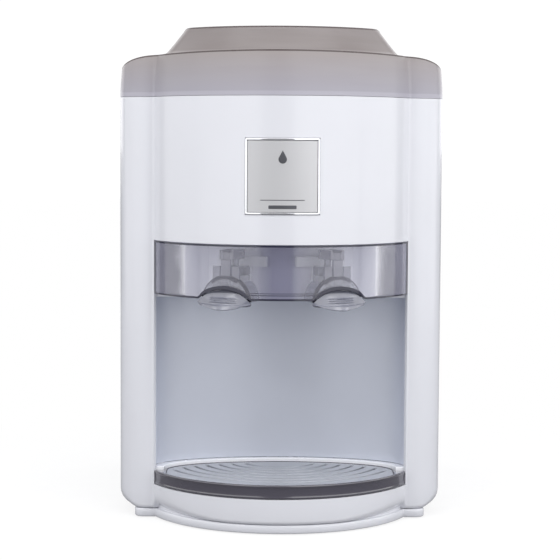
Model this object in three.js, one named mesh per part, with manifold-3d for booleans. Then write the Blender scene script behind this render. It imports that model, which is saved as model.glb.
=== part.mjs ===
// Countertop water dispenser: a plumbed-in purifier with a cooled tank, two lever taps over a niche
// and a pull-out drip tray. Millimetres, +Z up, the front faces -Y.
// The origin is the centre of the footprint, on the worktop.

import * as THREE from "three";
import { mergeVertices } from "three/addons/utils/BufferGeometryUtils.js";
import Module from "manifold-3d";

const wasm = await Module();
wasm.setup();

// ---------------------------------------------------------------- driving dimensions

const WIDTH = 290;
const DEPTH = 375;
const HEIGHT = 438;
const HALF = WIDTH / 2;
const GAP = 0.3; // between pieces that touch
const WALL = 3; // casing wall

// Plan of the casing: flat-fronted columns at both sides of a convex bulge.
const BADGE_PROUD = 0.8;
const FITTING_PROUD = 9; // inlet, switch and drain behind the rear panel
const BULGE_R = 125;
const BULGE_Y = -DEPTH / 2 + BADGE_PROUD + BULGE_R;
const BACK = DEPTH / 2 - FITTING_PROUD;
const COLUMN = 32;
const WINDOW = HALF - COLUMN; // half the width of the window between the columns
const COLUMN_Y = BULGE_Y - Math.sqrt(BULGE_R ** 2 - WINDOW ** 2);
const CREASE_R = 4; // hollow fillet where a column meets the bulge
const CREASE_X = Math.sqrt((BULGE_R + CREASE_R) ** 2 - (COLUMN_Y - CREASE_R - BULGE_Y) ** 2);
const CORNER_R = HALF - CREASE_X;
const SPLIT_Y = -60; // the front housing meets the side panels here

// Heights.
const PLINTH_Z = 1;
const BASE_Z = 8.7;
const EDGE_R = 14; // rounding of the casing's lower edges
const WINDOW_Z = 31;
const TRAY_TOP = 43.5;
const LEDGE_Z = 46.5;
const VISOR_Z = 202.5;
const VISOR_TOP = 250;
const SEAM_Z = 377;
const CREST_Z = 415.8;

// Taps: each stands on a radius of the bulge, turned towards its own side.
const TAP_X = 51;
const TAP_TURN = Math.asin(TAP_X / BULGE_R);
const TAP_R = 98; // from the bulge's centre to the valve stem
const PIVOT_Z = 241;
const SHANK_Z = 210;
const HOOD_R = 23;
const PANEL_R = 81.5;

// Inside the cabinet.
const TANK = { x: -45, y: 28, r: 62, z0: 105, z1: 235 };
const JACKET_R = 80;
const COOLER_Z = 170;
const FILTER_X = 85;
const FILTER_YS = { sediment: 58, carbon: -6 };
const FILTER_R = 27;
const FLOOR_Z = BASE_Z + WALL + GAP;
const HOSE_R = 3.2;

// ---------------------------------------------------------------- finishes

const FINISHES = {
  white: { color: 0xe6e7eb, roughness: 0.22, metalness: 0 },
  liner: { color: 0xa6aab6, roughness: 0.45, metalness: 0.2 },
  smoke: { color: 0x8f8fa6, roughness: 0.12, metalness: 0 },
  lid: { color: 0xaaa4a6, roughness: 0.28, metalness: 0 },
  clear: { color: 0xc4ccd0, roughness: 0.12, metalness: 0 },
  grille: { color: 0x9da1a8, roughness: 0.4, metalness: 0 },
  satin: { color: 0xc9c9cb, roughness: 0.35, metalness: 0.8 },
  chrome: { color: 0xe8e8ea, roughness: 0.06, metalness: 1 },
  steel: { color: 0xb8babd, roughness: 0.3, metalness: 1 },
  aluminium: { color: 0xc2c4c8, roughness: 0.45, metalness: 1 },
  black: { color: 0x1d1e20, roughness: 0.5, metalness: 0 },
  rubber: { color: 0x2b2b2d, roughness: 0.85, metalness: 0 },
  silicone: { color: 0xe4e2da, roughness: 0.6, metalness: 0 },
  foam: { color: 0xeeeeea, roughness: 0.9, metalness: 0 },
  filter: { color: 0xdfe4ee, roughness: 0.35, metalness: 0 },
  board: { color: 0x2e6b45, roughness: 0.55, metalness: 0 },
  ceramic: { color: 0xf2f2f0, roughness: 0.7, metalness: 0 },
  hose: { color: 0xdfe6ea, roughness: 0.35, metalness: 0 },
};

// ---------------------------------------------------------------- solids

const V2 = (x, y) => new THREE.Vector2(x, y);
const V3 = (x, y, z) => new THREE.Vector3(x, y, z);

function toSolid(geometry) {
  const bare = new THREE.BufferGeometry();
  const source = geometry.index ? geometry.toNonIndexed() : geometry;
  bare.setAttribute("position", source.getAttribute("position"));
  const merged = mergeVertices(bare, 1e-4);
  const triVerts = new Uint32Array(merged.index.array);
  const vertProperties = merged.attributes.position.array;
  const made = new wasm.Manifold(new wasm.Mesh({ numProp: 3, vertProperties, triVerts }));
  if (made.volume() > 0) return made;
  return new wasm.Manifold(
    new wasm.Mesh({ numProp: 3, vertProperties, triVerts: triVerts.slice().reverse() }),
  );
}

function toGeometry(solid) {
  const { numProp, vertProperties, triVerts } = solid.getMesh();
  const positions = new Float32Array(triVerts.length * 3);
  triVerts.forEach((v, k) => {
    positions.set(vertProperties.subarray(v * numProp, v * numProp + 3), k * 3);
  });
  const geometry = new THREE.BufferGeometry();
  geometry.setAttribute("position", new THREE.BufferAttribute(positions, 3));
  geometry.computeVertexNormals();
  return geometry;
}

const combine = (method) => (first, ...others) =>
  toGeometry(others.reduce((made, next) => made[method](toSolid(next)), toSolid(first)));
const join = combine("add");
const cut = combine("subtract");
const common = combine("intersect");

// Points of an arc, angles in degrees.
function arc(cx, cy, r, from, to, steps, ry = r) {
  return Array.from({ length: steps + 1 }, (_, k) => {
    const t = THREE.MathUtils.degToRad(from + ((to - from) * k) / steps);
    return V2(cx + r * Math.cos(t), cy + ry * Math.sin(t));
  });
}

// A right-hand half outline, from the middle outwards, and its mirror image.
function bothSides(half) {
  const left = half.map((p) => V2(-p.x, p.y)).reverse();
  return [...left, ...half].filter((p, k, all) => p.distanceTo(all.at(k - 1)) > 1e-4);
}

function box(x0, x1, y0, y1, z0, z1) {
  const made = new THREE.BoxGeometry(x1 - x0, y1 - y0, z1 - z0);
  return made.translate((x0 + x1) / 2, (y0 + y1) / 2, (z0 + z1) / 2);
}

// An upright prism over an outline in plan.
function prism(outline, z0, z1, holes = []) {
  const shape = new THREE.Shape(outline);
  shape.holes = holes.map((points) => new THREE.Path(points));
  const made = new THREE.ExtrudeGeometry(shape, { depth: z1 - z0, bevelEnabled: false });
  return made.translate(0, 0, z0);
}

// The same for an outline in front view (x, z), running from y0 to y1.
function alongY(outline, y0, y1, holes = []) {
  return prism(outline, 0, y1 - y0, holes).rotateX(Math.PI / 2).translate(0, y1, 0);
}

// And for an outline in side view (y, z), running from x0 to x1.
function alongX(outline, x0, x1) {
  const turn = new THREE.Matrix4().makeBasis(V3(0, 1, 0), V3(0, 0, 1), V3(1, 0, 0));
  return prism(outline, x0, x1).applyMatrix4(turn);
}

function rod(r, z0, z1, x = 0, y = 0, sides = 20) {
  return new THREE.CylinderGeometry(r, r, z1 - z0, sides)
    .rotateX(Math.PI / 2)
    .translate(x, y, (z0 + z1) / 2);
}

function rodY(r, y0, y1, x = 0, z = 0, sides = 16) {
  return new THREE.CylinderGeometry(r, r, y1 - y0, sides).translate(x, (y0 + y1) / 2, z);
}

function rodX(r, x0, x1, y = 0, z = 0, sides = 16) {
  return rod(r, x0, x1, 0, 0, sides).rotateY(Math.PI / 2).translate(0, y, z);
}

// A turned solid about the vertical axis through (x, y). The profile is (radius, z).
function turned(profile, x, y, sides = 18) {
  return new THREE.LatheGeometry(profile.map(([r, z]) => V2(r, z)), sides)
    .rotateX(Math.PI / 2)
    .translate(x, y, 0);
}

// A round bar along a smooth curve through the points.
function bar(points, r, steps, sides = 7) {
  const shape = new THREE.Shape(arc(0, 0, r, 0, 360 - 360 / sides, sides - 1));
  const extrudePath = new THREE.CatmullRomCurve3(points);
  return new THREE.ExtrudeGeometry(shape, { steps, bevelEnabled: false, extrudePath });
}

// A skin stretched over level rings that have the same number of points, with flat ends.
function loft(rings) {
  const count = rings[0].points.length;
  const vertices = rings.flatMap(({ points, z }) => points.map((p) => V3(p.x, p.y, z)));
  const faces = [];
  for (let r = 0; r + 1 < rings.length; r++) {
    for (let k = 0; k < count; k++) {
      const a = r * count + k;
      const b = r * count + ((k + 1) % count);
      faces.push([a, b, b + count], [a, b + count, a + count]);
    }
  }
  const top = (rings.length - 1) * count;
  for (const [a, b, c] of THREE.ShapeUtils.triangulateShape(rings[0].points, [])) {
    faces.push([a, c, b]);
  }
  for (const [a, b, c] of THREE.ShapeUtils.triangulateShape(rings.at(-1).points, [])) {
    faces.push([a + top, b + top, c + top]);
  }
  return new THREE.BufferGeometry().setFromPoints(faces.flat().map((k) => vertices[k]));
}

// A curved plate between two grids of points, front(u, v) and back(u, v), both from 0 to 1.
function plate(front, back, across, up) {
  const grid = (face, flip) => {
    const rows = [];
    for (let j = 0; j < up; j++) {
      for (let i = 0; i < across; i++) {
        const corner = (di, dj) => face((i + di) / across, (j + dj) / up);
        const quad = [corner(0, 0), corner(1, 0), corner(1, 1), corner(0, 1)];
        if (flip) quad.reverse();
        rows.push(quad[0], quad[1], quad[2], quad[0], quad[2], quad[3]);
      }
    }
    return rows;
  };
  const rim = [];
  const strip = (from, to) => {
    rim.push(front(...from), back(...from), back(...to));
    rim.push(front(...from), back(...to), front(...to));
  };
  for (let i = 0; i < across; i++) {
    strip([i / across, 0], [(i + 1) / across, 0]);
    strip([(i + 1) / across, 1], [i / across, 1]);
  }
  for (let j = 0; j < up; j++) {
    strip([0, (j + 1) / up], [0, j / up]);
    strip([1, j / up], [1, (j + 1) / up]);
  }
  return new THREE.BufferGeometry().setFromPoints([
    ...grid(front, false),
    ...grid(back, true),
    ...rim,
  ]);
}

// ---------------------------------------------------------------- outlines

// The casing in plan, an even distance inside its outer face, closed across the back.
function caseOutline(inset, back) {
  const turn = THREE.MathUtils.radToDeg(Math.asin(CREASE_X / (BULGE_R + CREASE_R)));
  return bothSides([
    ...arc(0, BULGE_Y, BULGE_R - inset, -90, -90 + turn, 11),
    ...arc(CREASE_X, COLUMN_Y - CREASE_R, CREASE_R + inset, 90 + turn, 90, 2),
    ...arc(CREASE_X, COLUMN_Y + CORNER_R, CORNER_R - inset, -90, 0, 5),
    V2(HALF - inset, back),
  ]);
}

// The casing in front view, with rounded lower corners.
function faceOutline(top) {
  const corner = arc(HALF - EDGE_R, BASE_Z + EDGE_R, EDGE_R, -90, 0, 5);
  return bothSides([...corner, V2(HALF, top)]);
}

// The space inside it, open downwards between the rolled-in lower edges.
function cavityOutline(top) {
  const corner = arc(HALF - EDGE_R, BASE_Z + EDGE_R, EDGE_R - WALL, -90, 0, 5);
  return bothSides([V2(HALF - EDGE_R, -WALL), ...corner, V2(HALF - WALL, top)]);
}

const PLINTH_INSET = 14.4;
const PLINTH_STEP = 1.5;
const PLINTH_CORNER_R = 8;
const PLINTH_RIM = 3.6; // from the skirt in to the rim that stands inside the casing

function plinthOutline(inset) {
  const half = HALF - PLINTH_INSET - inset;
  const front = COLUMN_Y + PLINTH_STEP + inset;
  const r = BULGE_R - PLINTH_STEP - inset;
  const turn = THREE.MathUtils.radToDeg(Math.acos((BULGE_Y - front) / r));
  const corner = PLINTH_CORNER_R - inset;
  return bothSides([
    ...arc(0, BULGE_Y, r, -90, -90 + turn, 12),
    ...arc(half - corner, front + corner, corner, -90, 0, 3),
    V2(half, BACK - WALL - 2 - inset),
  ]);
}

// The niche's curved rear wall in plan: half an ellipse behind the columns.
const NICHE_Y = COLUMN_Y + WALL + GAP;
const NICHE_DEPTH = 50;
const nicheOutline = (grow) => arc(0, NICHE_Y, WINDOW + grow, 0, 180, 28, NICHE_DEPTH + grow);

// The drip tray in plan: bulged front, shoulders that fill the window's width, rounded back.
const TRAY_HALF = WINDOW - 0.6;
const TRAY_BACK_HALF = 103.7;
const TRAY_BACK_DEPTH = 45;

function trayOutline() {
  const turn = THREE.MathUtils.radToDeg(Math.asin(TRAY_HALF / BULGE_R));
  return bothSides([
    ...arc(0, BULGE_Y, BULGE_R, -90, -90 + turn, 13),
    V2(TRAY_HALF, NICHE_Y - GAP),
    V2(TRAY_BACK_HALF, NICHE_Y - GAP),
    ...arc(0, NICHE_Y, TRAY_BACK_HALF, 0, 90, 12, TRAY_BACK_DEPTH),
  ]);
}

// Its inside, an even distance in from the front and the back, between the shoulders.
function trayInside(inset) {
  const half = TRAY_BACK_HALF - inset;
  const turn = THREE.MathUtils.radToDeg(Math.asin(half / (BULGE_R - inset)));
  return bothSides([
    ...arc(0, BULGE_Y, BULGE_R - inset, -90, -90 + turn, 12),
    ...arc(0, NICHE_Y, half, 0, 90, 12, TRAY_BACK_DEPTH - inset),
  ]);
}

// ---------------------------------------------------------------- casing

function frontHousing() {
  const front = -DEPTH / 2 - 1;
  const outer = common(
    prism(caseOutline(0, SPLIT_Y), BASE_Z, SEAM_Z - GAP / 2),
    alongY(faceOutline(SEAM_Z), front, SPLIT_Y + 1),
  );
  const inner = common(
    prism(caseOutline(WALL, SPLIT_Y + 1), 0, SEAM_Z + 1),
    alongY(cavityOutline(SEAM_Z + 1), front, SPLIT_Y + 2),
  );
  const window = box(-WINDOW, WINDOW, front, COLUMN_Y + 10, WINDOW_Z, VISOR_TOP + GAP);
  return cut(outer, inner, window, badgeBlock(BADGE_SINK + GAP, 5, GAP));
}

// Half of the section of a side panel, from its rolled-in lower edge upwards.
function sidePanel(side) {
  const outer = arc(HALF - EDGE_R, BASE_Z + EDGE_R, EDGE_R, -90, 0, 5);
  const inner = arc(HALF - EDGE_R, BASE_Z + EDGE_R, EDGE_R - WALL, 0, -90, 5);
  const top = SEAM_Z - GAP / 2;
  const section = [...outer, V2(HALF, top), V2(HALF - WALL, top), ...inner];
  const placed = section.map((p) => V2(side * p.x, p.y));
  return alongY(placed, SPLIT_Y + GAP, BACK - WALL - GAP);
}

const VENT = { x: TANK.x, z: COOLER_Z, r: 41, pitch: 8, slot: 4 };
const SWITCH = { x: 96, z: 128, halfX: 7.5, halfZ: 12 };
const PORT_R = 6; // threaded body of the inlet and the drain
const INLET = { x: FILTER_X, z: 60 };
const DRAIN = { x: -100, z: 40 };
const GLAND = { x: 20, z: 40, r: 5.5, collar: 9, bore: 3.4 };

function rearPanel() {
  const slots = [];
  for (let z = -4 * VENT.pitch; z <= 4 * VENT.pitch; z += VENT.pitch) {
    const half = Math.sqrt(VENT.r ** 2 - z ** 2);
    const low = VENT.z + z - VENT.slot / 2;
    slots.push(box(VENT.x - half, VENT.x + half, BACK - 9, BACK + 1, low, low + VENT.slot));
  }
  return cut(
    alongY(faceOutline(SEAM_Z - GAP / 2), BACK - WALL, BACK),
    ...slots,
    box(
      SWITCH.x - SWITCH.halfX - GAP,
      SWITCH.x + SWITCH.halfX + GAP,
      BACK - 9,
      BACK + 1,
      SWITCH.z - SWITCH.halfZ - GAP,
      SWITCH.z + SWITCH.halfZ + GAP,
    ),
    rodY(PORT_R + GAP, BACK - 9, BACK + 1, INLET.x, INLET.z),
    rodY(PORT_R + GAP, BACK - 9, BACK + 1, DRAIN.x, DRAIN.z),
    rodY(GLAND.r + GAP, BACK - 9, BACK + 1, GLAND.x, GLAND.z),
    ...SCREWS.map(([x, z]) => rodY(SCREW_R + GAP, BACK - 9, BACK + 1, x, z, 10)),
  );
}

const SCREW_R = 1.3;
const SCREWS = [
  [-130, 345],
  [130, 345],
];

function rearScrew([x, z]) {
  const head = turned([[0, 0], [4.2, 0], [4.2, 1], [3, 2.4], [0, 2.6]], 0, 0, 14)
    .rotateX(-Math.PI / 2)
    .translate(x, BACK + GAP, z);
  return join(head, rodY(SCREW_R, BACK - 8, BACK + 1, x, z, 10));
}

const basePlate = () =>
  cut(
    join(
      prism(plinthOutline(0), PLINTH_Z, BASE_Z - GAP),
      prism(plinthOutline(PLINTH_RIM), BASE_Z - 1, BASE_Z + WALL),
    ),
    prism(plinthOutline(PLINTH_RIM + WALL), 0, BASE_Z),
  );

const FOOT = { r: 11, x: 108, front: -90, back: 152 };
const foot = (x, y) => turned([[0, 0], [9, 0], [FOOT.r, 2], [FOOT.r, BASE_Z - GAP], [0, BASE_Z - GAP]], x, y);

function topDeck() {
  const z = SEAM_Z - 21;
  const holes = Object.values(FILTER_YS).map((y) =>
    rod(FILTER_R + 1.5, z - 1, z + 5, FILTER_X, y, 28),
  );
  return cut(prism(caseOutline(WALL + GAP, BACK - WALL - GAP), z, z + WALL), ...holes);
}

// ---------------------------------------------------------------- badge

const BADGE = { halfX: 31.75, z0: 276, z1: 341, frame: 1.8 };
const BADGE_SINK = 1.4;

// A block of the bulge's skin behind the badge, from `sink` inside the face to `proud` outside it.
function badgeBlock(sink, proud, grow) {
  const skin = cut(
    rod(BULGE_R + proud, BADGE.z0 - 9, BADGE.z1 + 9, 0, BULGE_Y, 96),
    rod(BULGE_R - sink, BADGE.z0 - 19, BADGE.z1 + 19, 0, BULGE_Y, 96),
  );
  const half = BADGE.halfX + grow;
  return common(skin, box(-half, half, -DEPTH, BULGE_Y, BADGE.z0 - grow, BADGE.z1 + grow));
}

const badgePlate = () => badgeBlock(BADGE_SINK, BADGE_PROUD / 2, -BADGE.frame - GAP);
const badgeFrame = () =>
  cut(badgeBlock(BADGE_SINK, BADGE_PROUD, 0), badgeBlock(BADGE_SINK + 1, 9, -BADGE.frame));

// ---------------------------------------------------------------- lid

const LID_WALL = 2.5;
const SHOULDER = { x: 108, width: 36, drop: 14, crown: 2 };
const LID_BACK = BACK - 0.5;

// The lid's upper edge in front view: a slight crown that ends in elliptical shoulders.
function crestOutline(inset) {
  const shoulderZ = CREST_Z - SHOULDER.crown - SHOULDER.drop;
  const crown = [];
  for (let k = 0; k < 4; k++) {
    const x = (SHOULDER.x * k) / 4;
    crown.push(V2(x, CREST_Z - inset - SHOULDER.crown * (x / SHOULDER.x) ** 2));
  }
  const shoulder = arc(
    SHOULDER.x,
    shoulderZ,
    SHOULDER.width - inset,
    90,
    0,
    6,
    SHOULDER.drop - inset,
  );
  return bothSides([...crown, ...shoulder, V2(HALF + 1 - inset, shoulderZ), V2(HALF + 1, SEAM_Z - 9)]);
}

function lidSkirt(inset) {
  const levels = [
    [0, SEAM_Z + GAP / 2],
    [0.4, SEAM_Z + 12],
    [1.6, SEAM_Z + 26],
    [3.6, CREST_Z + 1],
  ];
  const rings = levels.map(([lean, z]) => ({
    points: caseOutline(lean + inset, LID_BACK - lean - inset),
    z: inset && z < SEAM_Z + 1 ? z - 1 : z,
  }));
  return common(loft(rings), alongY(crestOutline(inset), -DEPTH, DEPTH));
}

const PLATEAU = { y: BULGE_Y + 22, r: 120, back: 150, edge: 6, rear: 14 };

// The raised middle in plan, for a half-width and a setback of its faces.
function plateauRing(half, setback) {
  const r = PLATEAU.r - setback;
  const end = half - PLATEAU.edge;
  const turn = THREE.MathUtils.radToDeg(Math.asin(end / r));
  const y = PLATEAU.y - Math.sqrt(r ** 2 - end ** 2);
  const bend = new THREE.QuadraticBezierCurve(V2(end, y), V2(half, y + 5), V2(half, y + 16));
  const back = PLATEAU.back - setback;
  return bothSides([
    ...arc(0, PLATEAU.y, r, -90, -90 + turn, 9),
    ...bend.getPoints(3),
    ...arc(half - PLATEAU.rear, back - PLATEAU.rear, PLATEAU.rear, 0, 90, 4),
  ]);
}

function plateau(inset) {
  const levels = [
    [110, -5, CREST_Z - 8],
    [108, -4, CREST_Z - 3],
    [104, -1, CREST_Z - 0.5],
    [100.5, 0.5, CREST_Z + 3],
    [86.3, 6, HEIGHT - 1.5],
    [84.8, 7.5, HEIGHT],
  ];
  return loft(
    levels.map(([half, setback, z], k) => ({
      points: plateauRing(half - inset, setback + inset),
      z: z - (k > 3 ? inset : 0),
    })),
  );
}

const lid = () =>
  cut(join(lidSkirt(0), plateau(0)), join(lidSkirt(LID_WALL), plateau(LID_WALL)));

// ---------------------------------------------------------------- niche and tray

const CEILING_Z = 199.5;

function nicheLiner() {
  const wall = cut(
    prism(nicheOutline(2), LEDGE_Z + GAP, CEILING_Z + 2),
    prism([...nicheOutline(0), V2(-WINDOW, NICHE_Y - 9), V2(WINDOW, NICHE_Y - 9)], 0, 300),
  );
  const behindWings = NICHE_Y + 2.6;
  const ceiling = join(
    common(
      prism(nicheOutline(0.5), CEILING_Z, CEILING_Z + 2),
      box(-HALF, HALF, behindWings, 0, 0, 300),
    ),
    common(
      rod(PANEL_R - WALL - GAP, CEILING_Z, CEILING_Z + 2, 0, BULGE_Y, 48),
      box(-HALF, HALF, -DEPTH, behindWings + 1, 0, 300),
    ),
  );
  return join(wall, ceiling);
}

function nicheFloor() {
  const half = WINDOW - 0.5;
  const well = join(
    common(
      rod(BULGE_R - WALL - GAP, WINDOW_Z - 3, WINDOW_Z, 0, BULGE_Y, 72),
      box(-half, half, -DEPTH, NICHE_Y + 1, 0, 99),
    ),
    common(prism(nicheOutline(2), WINDOW_Z - 3, WINDOW_Z), box(-half, half, NICHE_Y, 0, 0, 99)),
  );
  const ledge = cut(
    prism(nicheOutline(2), WINDOW_Z - 1, LEDGE_Z),
    prism(arc(0, NICHE_Y, TRAY_BACK_HALF + 0.6, 0, 360, 56, TRAY_BACK_DEPTH + 0.6), 0, 99),
  );
  return join(well, ledge);
}

const TRAY_WALL = 2;
const TRAY_Z = WINDOW_Z + GAP;
const GRILLE_Z = TRAY_TOP - 2.5;

const dripTray = () =>
  cut(
    prism(trayOutline(), TRAY_Z, TRAY_TOP),
    prism(trayInside(TRAY_WALL * 2), TRAY_Z + TRAY_WALL, TRAY_TOP + 1),
    prism(trayInside(TRAY_WALL), GRILLE_Z - GAP, TRAY_TOP + 1),
  );

const SLOT = { first: 107, pitch: 12, width: 3.2, count: 7, rim: 6 };

function dripGrille() {
  const field = prism(trayInside(TRAY_WALL + SLOT.rim), 0, 99);
  const slots = [];
  for (let k = 0; k < SLOT.count; k++) {
    const r = SLOT.first - k * SLOT.pitch + SLOT.width / 2;
    const ring = cut(
      rod(r, GRILLE_Z - 1, TRAY_TOP, 0, BULGE_Y, 48),
      rod(r - SLOT.width, 0, 99, 0, BULGE_Y, 48),
    );
    slots.push(common(ring, field));
  }
  return cut(prism(trayInside(TRAY_WALL + 0.4), GRILLE_Z, TRAY_TOP - 0.3), ...slots);
}

// ---------------------------------------------------------------- visor and tap panel

const ARCH = { half: 24.8, rise: 8.8 };
const ARCH_R = (ARCH.half ** 2 + ARCH.rise ** 2) / (2 * ARCH.rise);
const VISOR_WALL = 2.5;
const SIDES = { left: -1, right: 1 };

// Turns a piece made for a tap that faces straight ahead to its own place on the bulge.
const atTap = (geometry, side) => geometry.rotateZ(side * TAP_TURN).translate(0, BULGE_Y, 0);

function visor() {
  const half = WINDOW - 0.6;
  const skin = cut(
    rod(BULGE_R, VISOR_Z, VISOR_TOP - GAP, 0, BULGE_Y, 90),
    rod(BULGE_R - VISOR_WALL, 0, 300, 0, BULGE_Y, 90),
  );
  const arches = Object.values(SIDES).map((side) =>
    atTap(rodY(ARCH_R, -BULGE_R - 9, -TAP_R, 0, VISOR_Z + ARCH.rise - ARCH_R, 64), side),
  );
  return cut(common(skin, box(-half, half, -DEPTH, NICHE_Y - GAP, 0, 300)), ...arches);
}

function tapPanel() {
  const z0 = CEILING_Z;
  const shelfZ = VISOR_TOP + 0.5;
  const top = shelfZ + 2;
  const wings = box(-WINDOW + 0.5, WINDOW - 0.5, NICHE_Y, NICHE_Y + 2, z0, top);
  const wall = cut(
    join(rod(PANEL_R, z0, top, 0, BULGE_Y, 48), wings),
    rod(PANEL_R - WALL, 0, 300, 0, BULGE_Y, 48),
    box(-HALF, HALF, NICHE_Y + 2, 100, 0, 300),
  );
  const shelf = cut(
    common(
      rod(BULGE_R - WALL - GAP, shelfZ, top, 0, BULGE_Y, 72),
      box(-WINDOW + 1, WINDOW - 1, -DEPTH, NICHE_Y + 1, 0, 300),
    ),
    rod(PANEL_R - 1, 0, 300, 0, BULGE_Y, 48),
  );
  const holes = Object.values(SIDES).map((side) =>
    atTap(rodY(7 + GAP, -PANEL_R - 2, -PANEL_R + 9, 0, SHANK_Z), side),
  );
  return cut(join(wall, shelf), ...holes);
}

// ---------------------------------------------------------------- taps
// Made facing straight ahead, with the bulge's centre at x = y = 0.

const BODY_TOP = 222;
const SEAT_Z = 205;
const SPOUT_Z = 195;
const CHAMBER_R = 6.2;
const STEM_R = 3;
const PIN_R = 1.4;
const FLANGE = { half: 23.5, z0: 229, z1: 238, r: 10.5 }; // a bar over a round boss, against the tap panel
const SHOULDER_Z = 231; // top of the lever's wide part

function tapBody() {
  const front = -PANEL_R - 3.5;
  const back = -PANEL_R - GAP;
  const flange = join(
    box(-FLANGE.half, FLANGE.half, front, back, FLANGE.z0, FLANGE.z1),
    box(-8, 8, front, back, SHANK_Z, FLANGE.z0 + 1),
    rodY(FLANGE.r, front, back, 0, SHANK_Z, 28),
  );
  return cut(
    join(
      rod(11, SPOUT_Z + 6, BODY_TOP, 0, -TAP_R),
      rod(8, SPOUT_Z, SPOUT_Z + 7, 0, -TAP_R),
      flange,
      rodY(7, -TAP_R, -58, 0, SHANK_Z),
    ),
    rod(CHAMBER_R, SEAT_Z, BODY_TOP + 1, 0, -TAP_R, 18),
    rod(4.2, SPOUT_Z - 1, SEAT_Z + 1, 0, -TAP_R, 18),
    rodY(3.5, -TAP_R, -57, 0, SHANK_Z, 12),
  );
}

const tapBonnet = () =>
  turned(
    [
      [STEM_R + 0.3, BODY_TOP + GAP],
      [12.7, BODY_TOP + GAP],
      [12.7, 229.4],
      [11.6, 230.6],
      [STEM_R + 0.3, 230.6],
      [STEM_R + 0.3, BODY_TOP + GAP],
    ],
    0,
    -TAP_R,
  );

function tapStem() {
  const eye = box(-2.5, 2.5, -TAP_R - 4, -TAP_R + 4, PIVOT_Z - 5.5, PIVOT_Z + 4);
  return cut(
    join(rod(STEM_R, SEAT_Z + 4, PIVOT_Z - 5, 0, -TAP_R, 14), eye),
    rodX(PIN_R + 0.15, -4, 4, -TAP_R, PIVOT_Z, 14),
  );
}

const tapSeal = () =>
  turned(
    [[0, SEAT_Z + GAP], [5, SEAT_Z + GAP], [5.6, SEAT_Z + 1.2], [5.6, SEAT_Z + 3.7], [0, SEAT_Z + 3.7]],
    0,
    -TAP_R,
    16,
  );

const SPRING = { r: 4.6, wire: 0.55, turns: 4, z0: SEAT_Z + 4.9, z1: BODY_TOP - 0.9 };

function tapSpring() {
  const points = [];
  const steps = SPRING.turns * 8;
  for (let k = 0; k <= steps; k++) {
    const t = (2 * Math.PI * k) / 8;
    const z = SPRING.z0 + ((SPRING.z1 - SPRING.z0) * k) / steps;
    points.push(V3(SPRING.r * Math.cos(t), SPRING.r * Math.sin(t) - TAP_R, z));
  }
  return bar(points, SPRING.wire, steps, 5);
}

const leverPin = () => rodX(PIN_R, -7, 7, -TAP_R, PIVOT_Z, 12);

// A domed hood behind the visor, a lens-shaped lip through the arch below it, and a forked arm.
function tapLever() {
  const face = -119;
  const rearOfArm = -115.6;
  const dome = (r) => arc(0, VISOR_Z - 2, r, 0, 180, 12);
  const hood = join(
    cut(alongY(dome(HOOD_R), face, -TAP_R), alongY(dome(HOOD_R - 2), face - 1, -TAP_R + 1)),
    alongY(dome(HOOD_R - 0.2), face - 1, face + 2),
  );
  const relief = box(-15.5, 15.5, rearOfArm, -TAP_R + 9, 0, 300);
  const fork = cut(
    box(-6.7, 6.7, face + 2, -TAP_R + 5, PIVOT_Z - 4.5, PIVOT_Z + 4),
    box(-2.8, 2.8, -TAP_R - 5.5, -TAP_R + 6, PIVOT_Z - 9, PIVOT_Z + 9),
    box(-3.7, 3.7, -DEPTH, DEPTH, PIVOT_Z + 1.8, PIVOT_Z + 9),
    rodX(PIN_R + 0.25, -9, 9, -TAP_R, PIVOT_Z, 14),
  );
  const arm = box(-4.5, 4.5, face, rearOfArm, VISOR_Z, PIVOT_Z - 1.5);
  const shoulder = box(-12.7, 12.7, face + 1, rearOfArm, VISOR_Z, SHOULDER_Z);
  return join(cut(hood, relief), fork, arm, shoulder, lip(face));
}

// Under the arch it is outlined by two arcs that meet at its corners, and its lower edge flares out.
const LENS = { half: ARCH.half - 0.4, rise: 11, sag: 5.2, flare: 11, z: VISOR_Z - 3 };

function lip(face) {
  const { half, rise, sag, flare, z: middleZ } = LENS;
  const lensArc = (height, sign) => {
    const r = (half ** 2 + height ** 2) / (2 * height);
    const spread = THREE.MathUtils.radToDeg(Math.asin(half / r));
    const middle = sign * 90;
    return arc(0, middleZ + sign * (height - r), r, middle - spread, middle + spread, 8);
  };
  const lens = alongY([...lensArc(rise, 1), ...lensArc(sag, -1)], -BULGE_R - 20, face + 2);
  const surface = (behind) => (u, v) => {
    const x = (2 * u - 1) * (half + 1);
    const z = middleZ - sag - 1 + (sag + rise + 2) * v;
    const reach = flare * (1 - v) * (1 - (2 * u - 1) ** 2);
    return V3(x, face - 2 - reach + behind, z);
  };
  return common(plate(surface(0), surface(2.4), 8, 4), lens);
}

// ---------------------------------------------------------------- filters

const MANIFOLD_TOP = 72;
const SOCKET = { r: 18, z: 66 };

function cartridge(y) {
  const z0 = SOCKET.z + 2 * GAP;
  const top = SEAM_Z - 9;
  const body = turned(
    [
      [0, z0],
      [SOCKET.r - 1, z0],
      [SOCKET.r - 1, z0 + 8],
      [FILTER_R, z0 + 14],
      [FILTER_R, top - 10],
      [FILTER_R - 5, top],
      [0, top],
    ],
    FILTER_X,
    y,
    24,
  );
  const grip = box(FILTER_X - 22, FILTER_X + 22, y - 3.5, y + 3.5, top - 4, top + 20);
  return join(body, grip);
}

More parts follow.
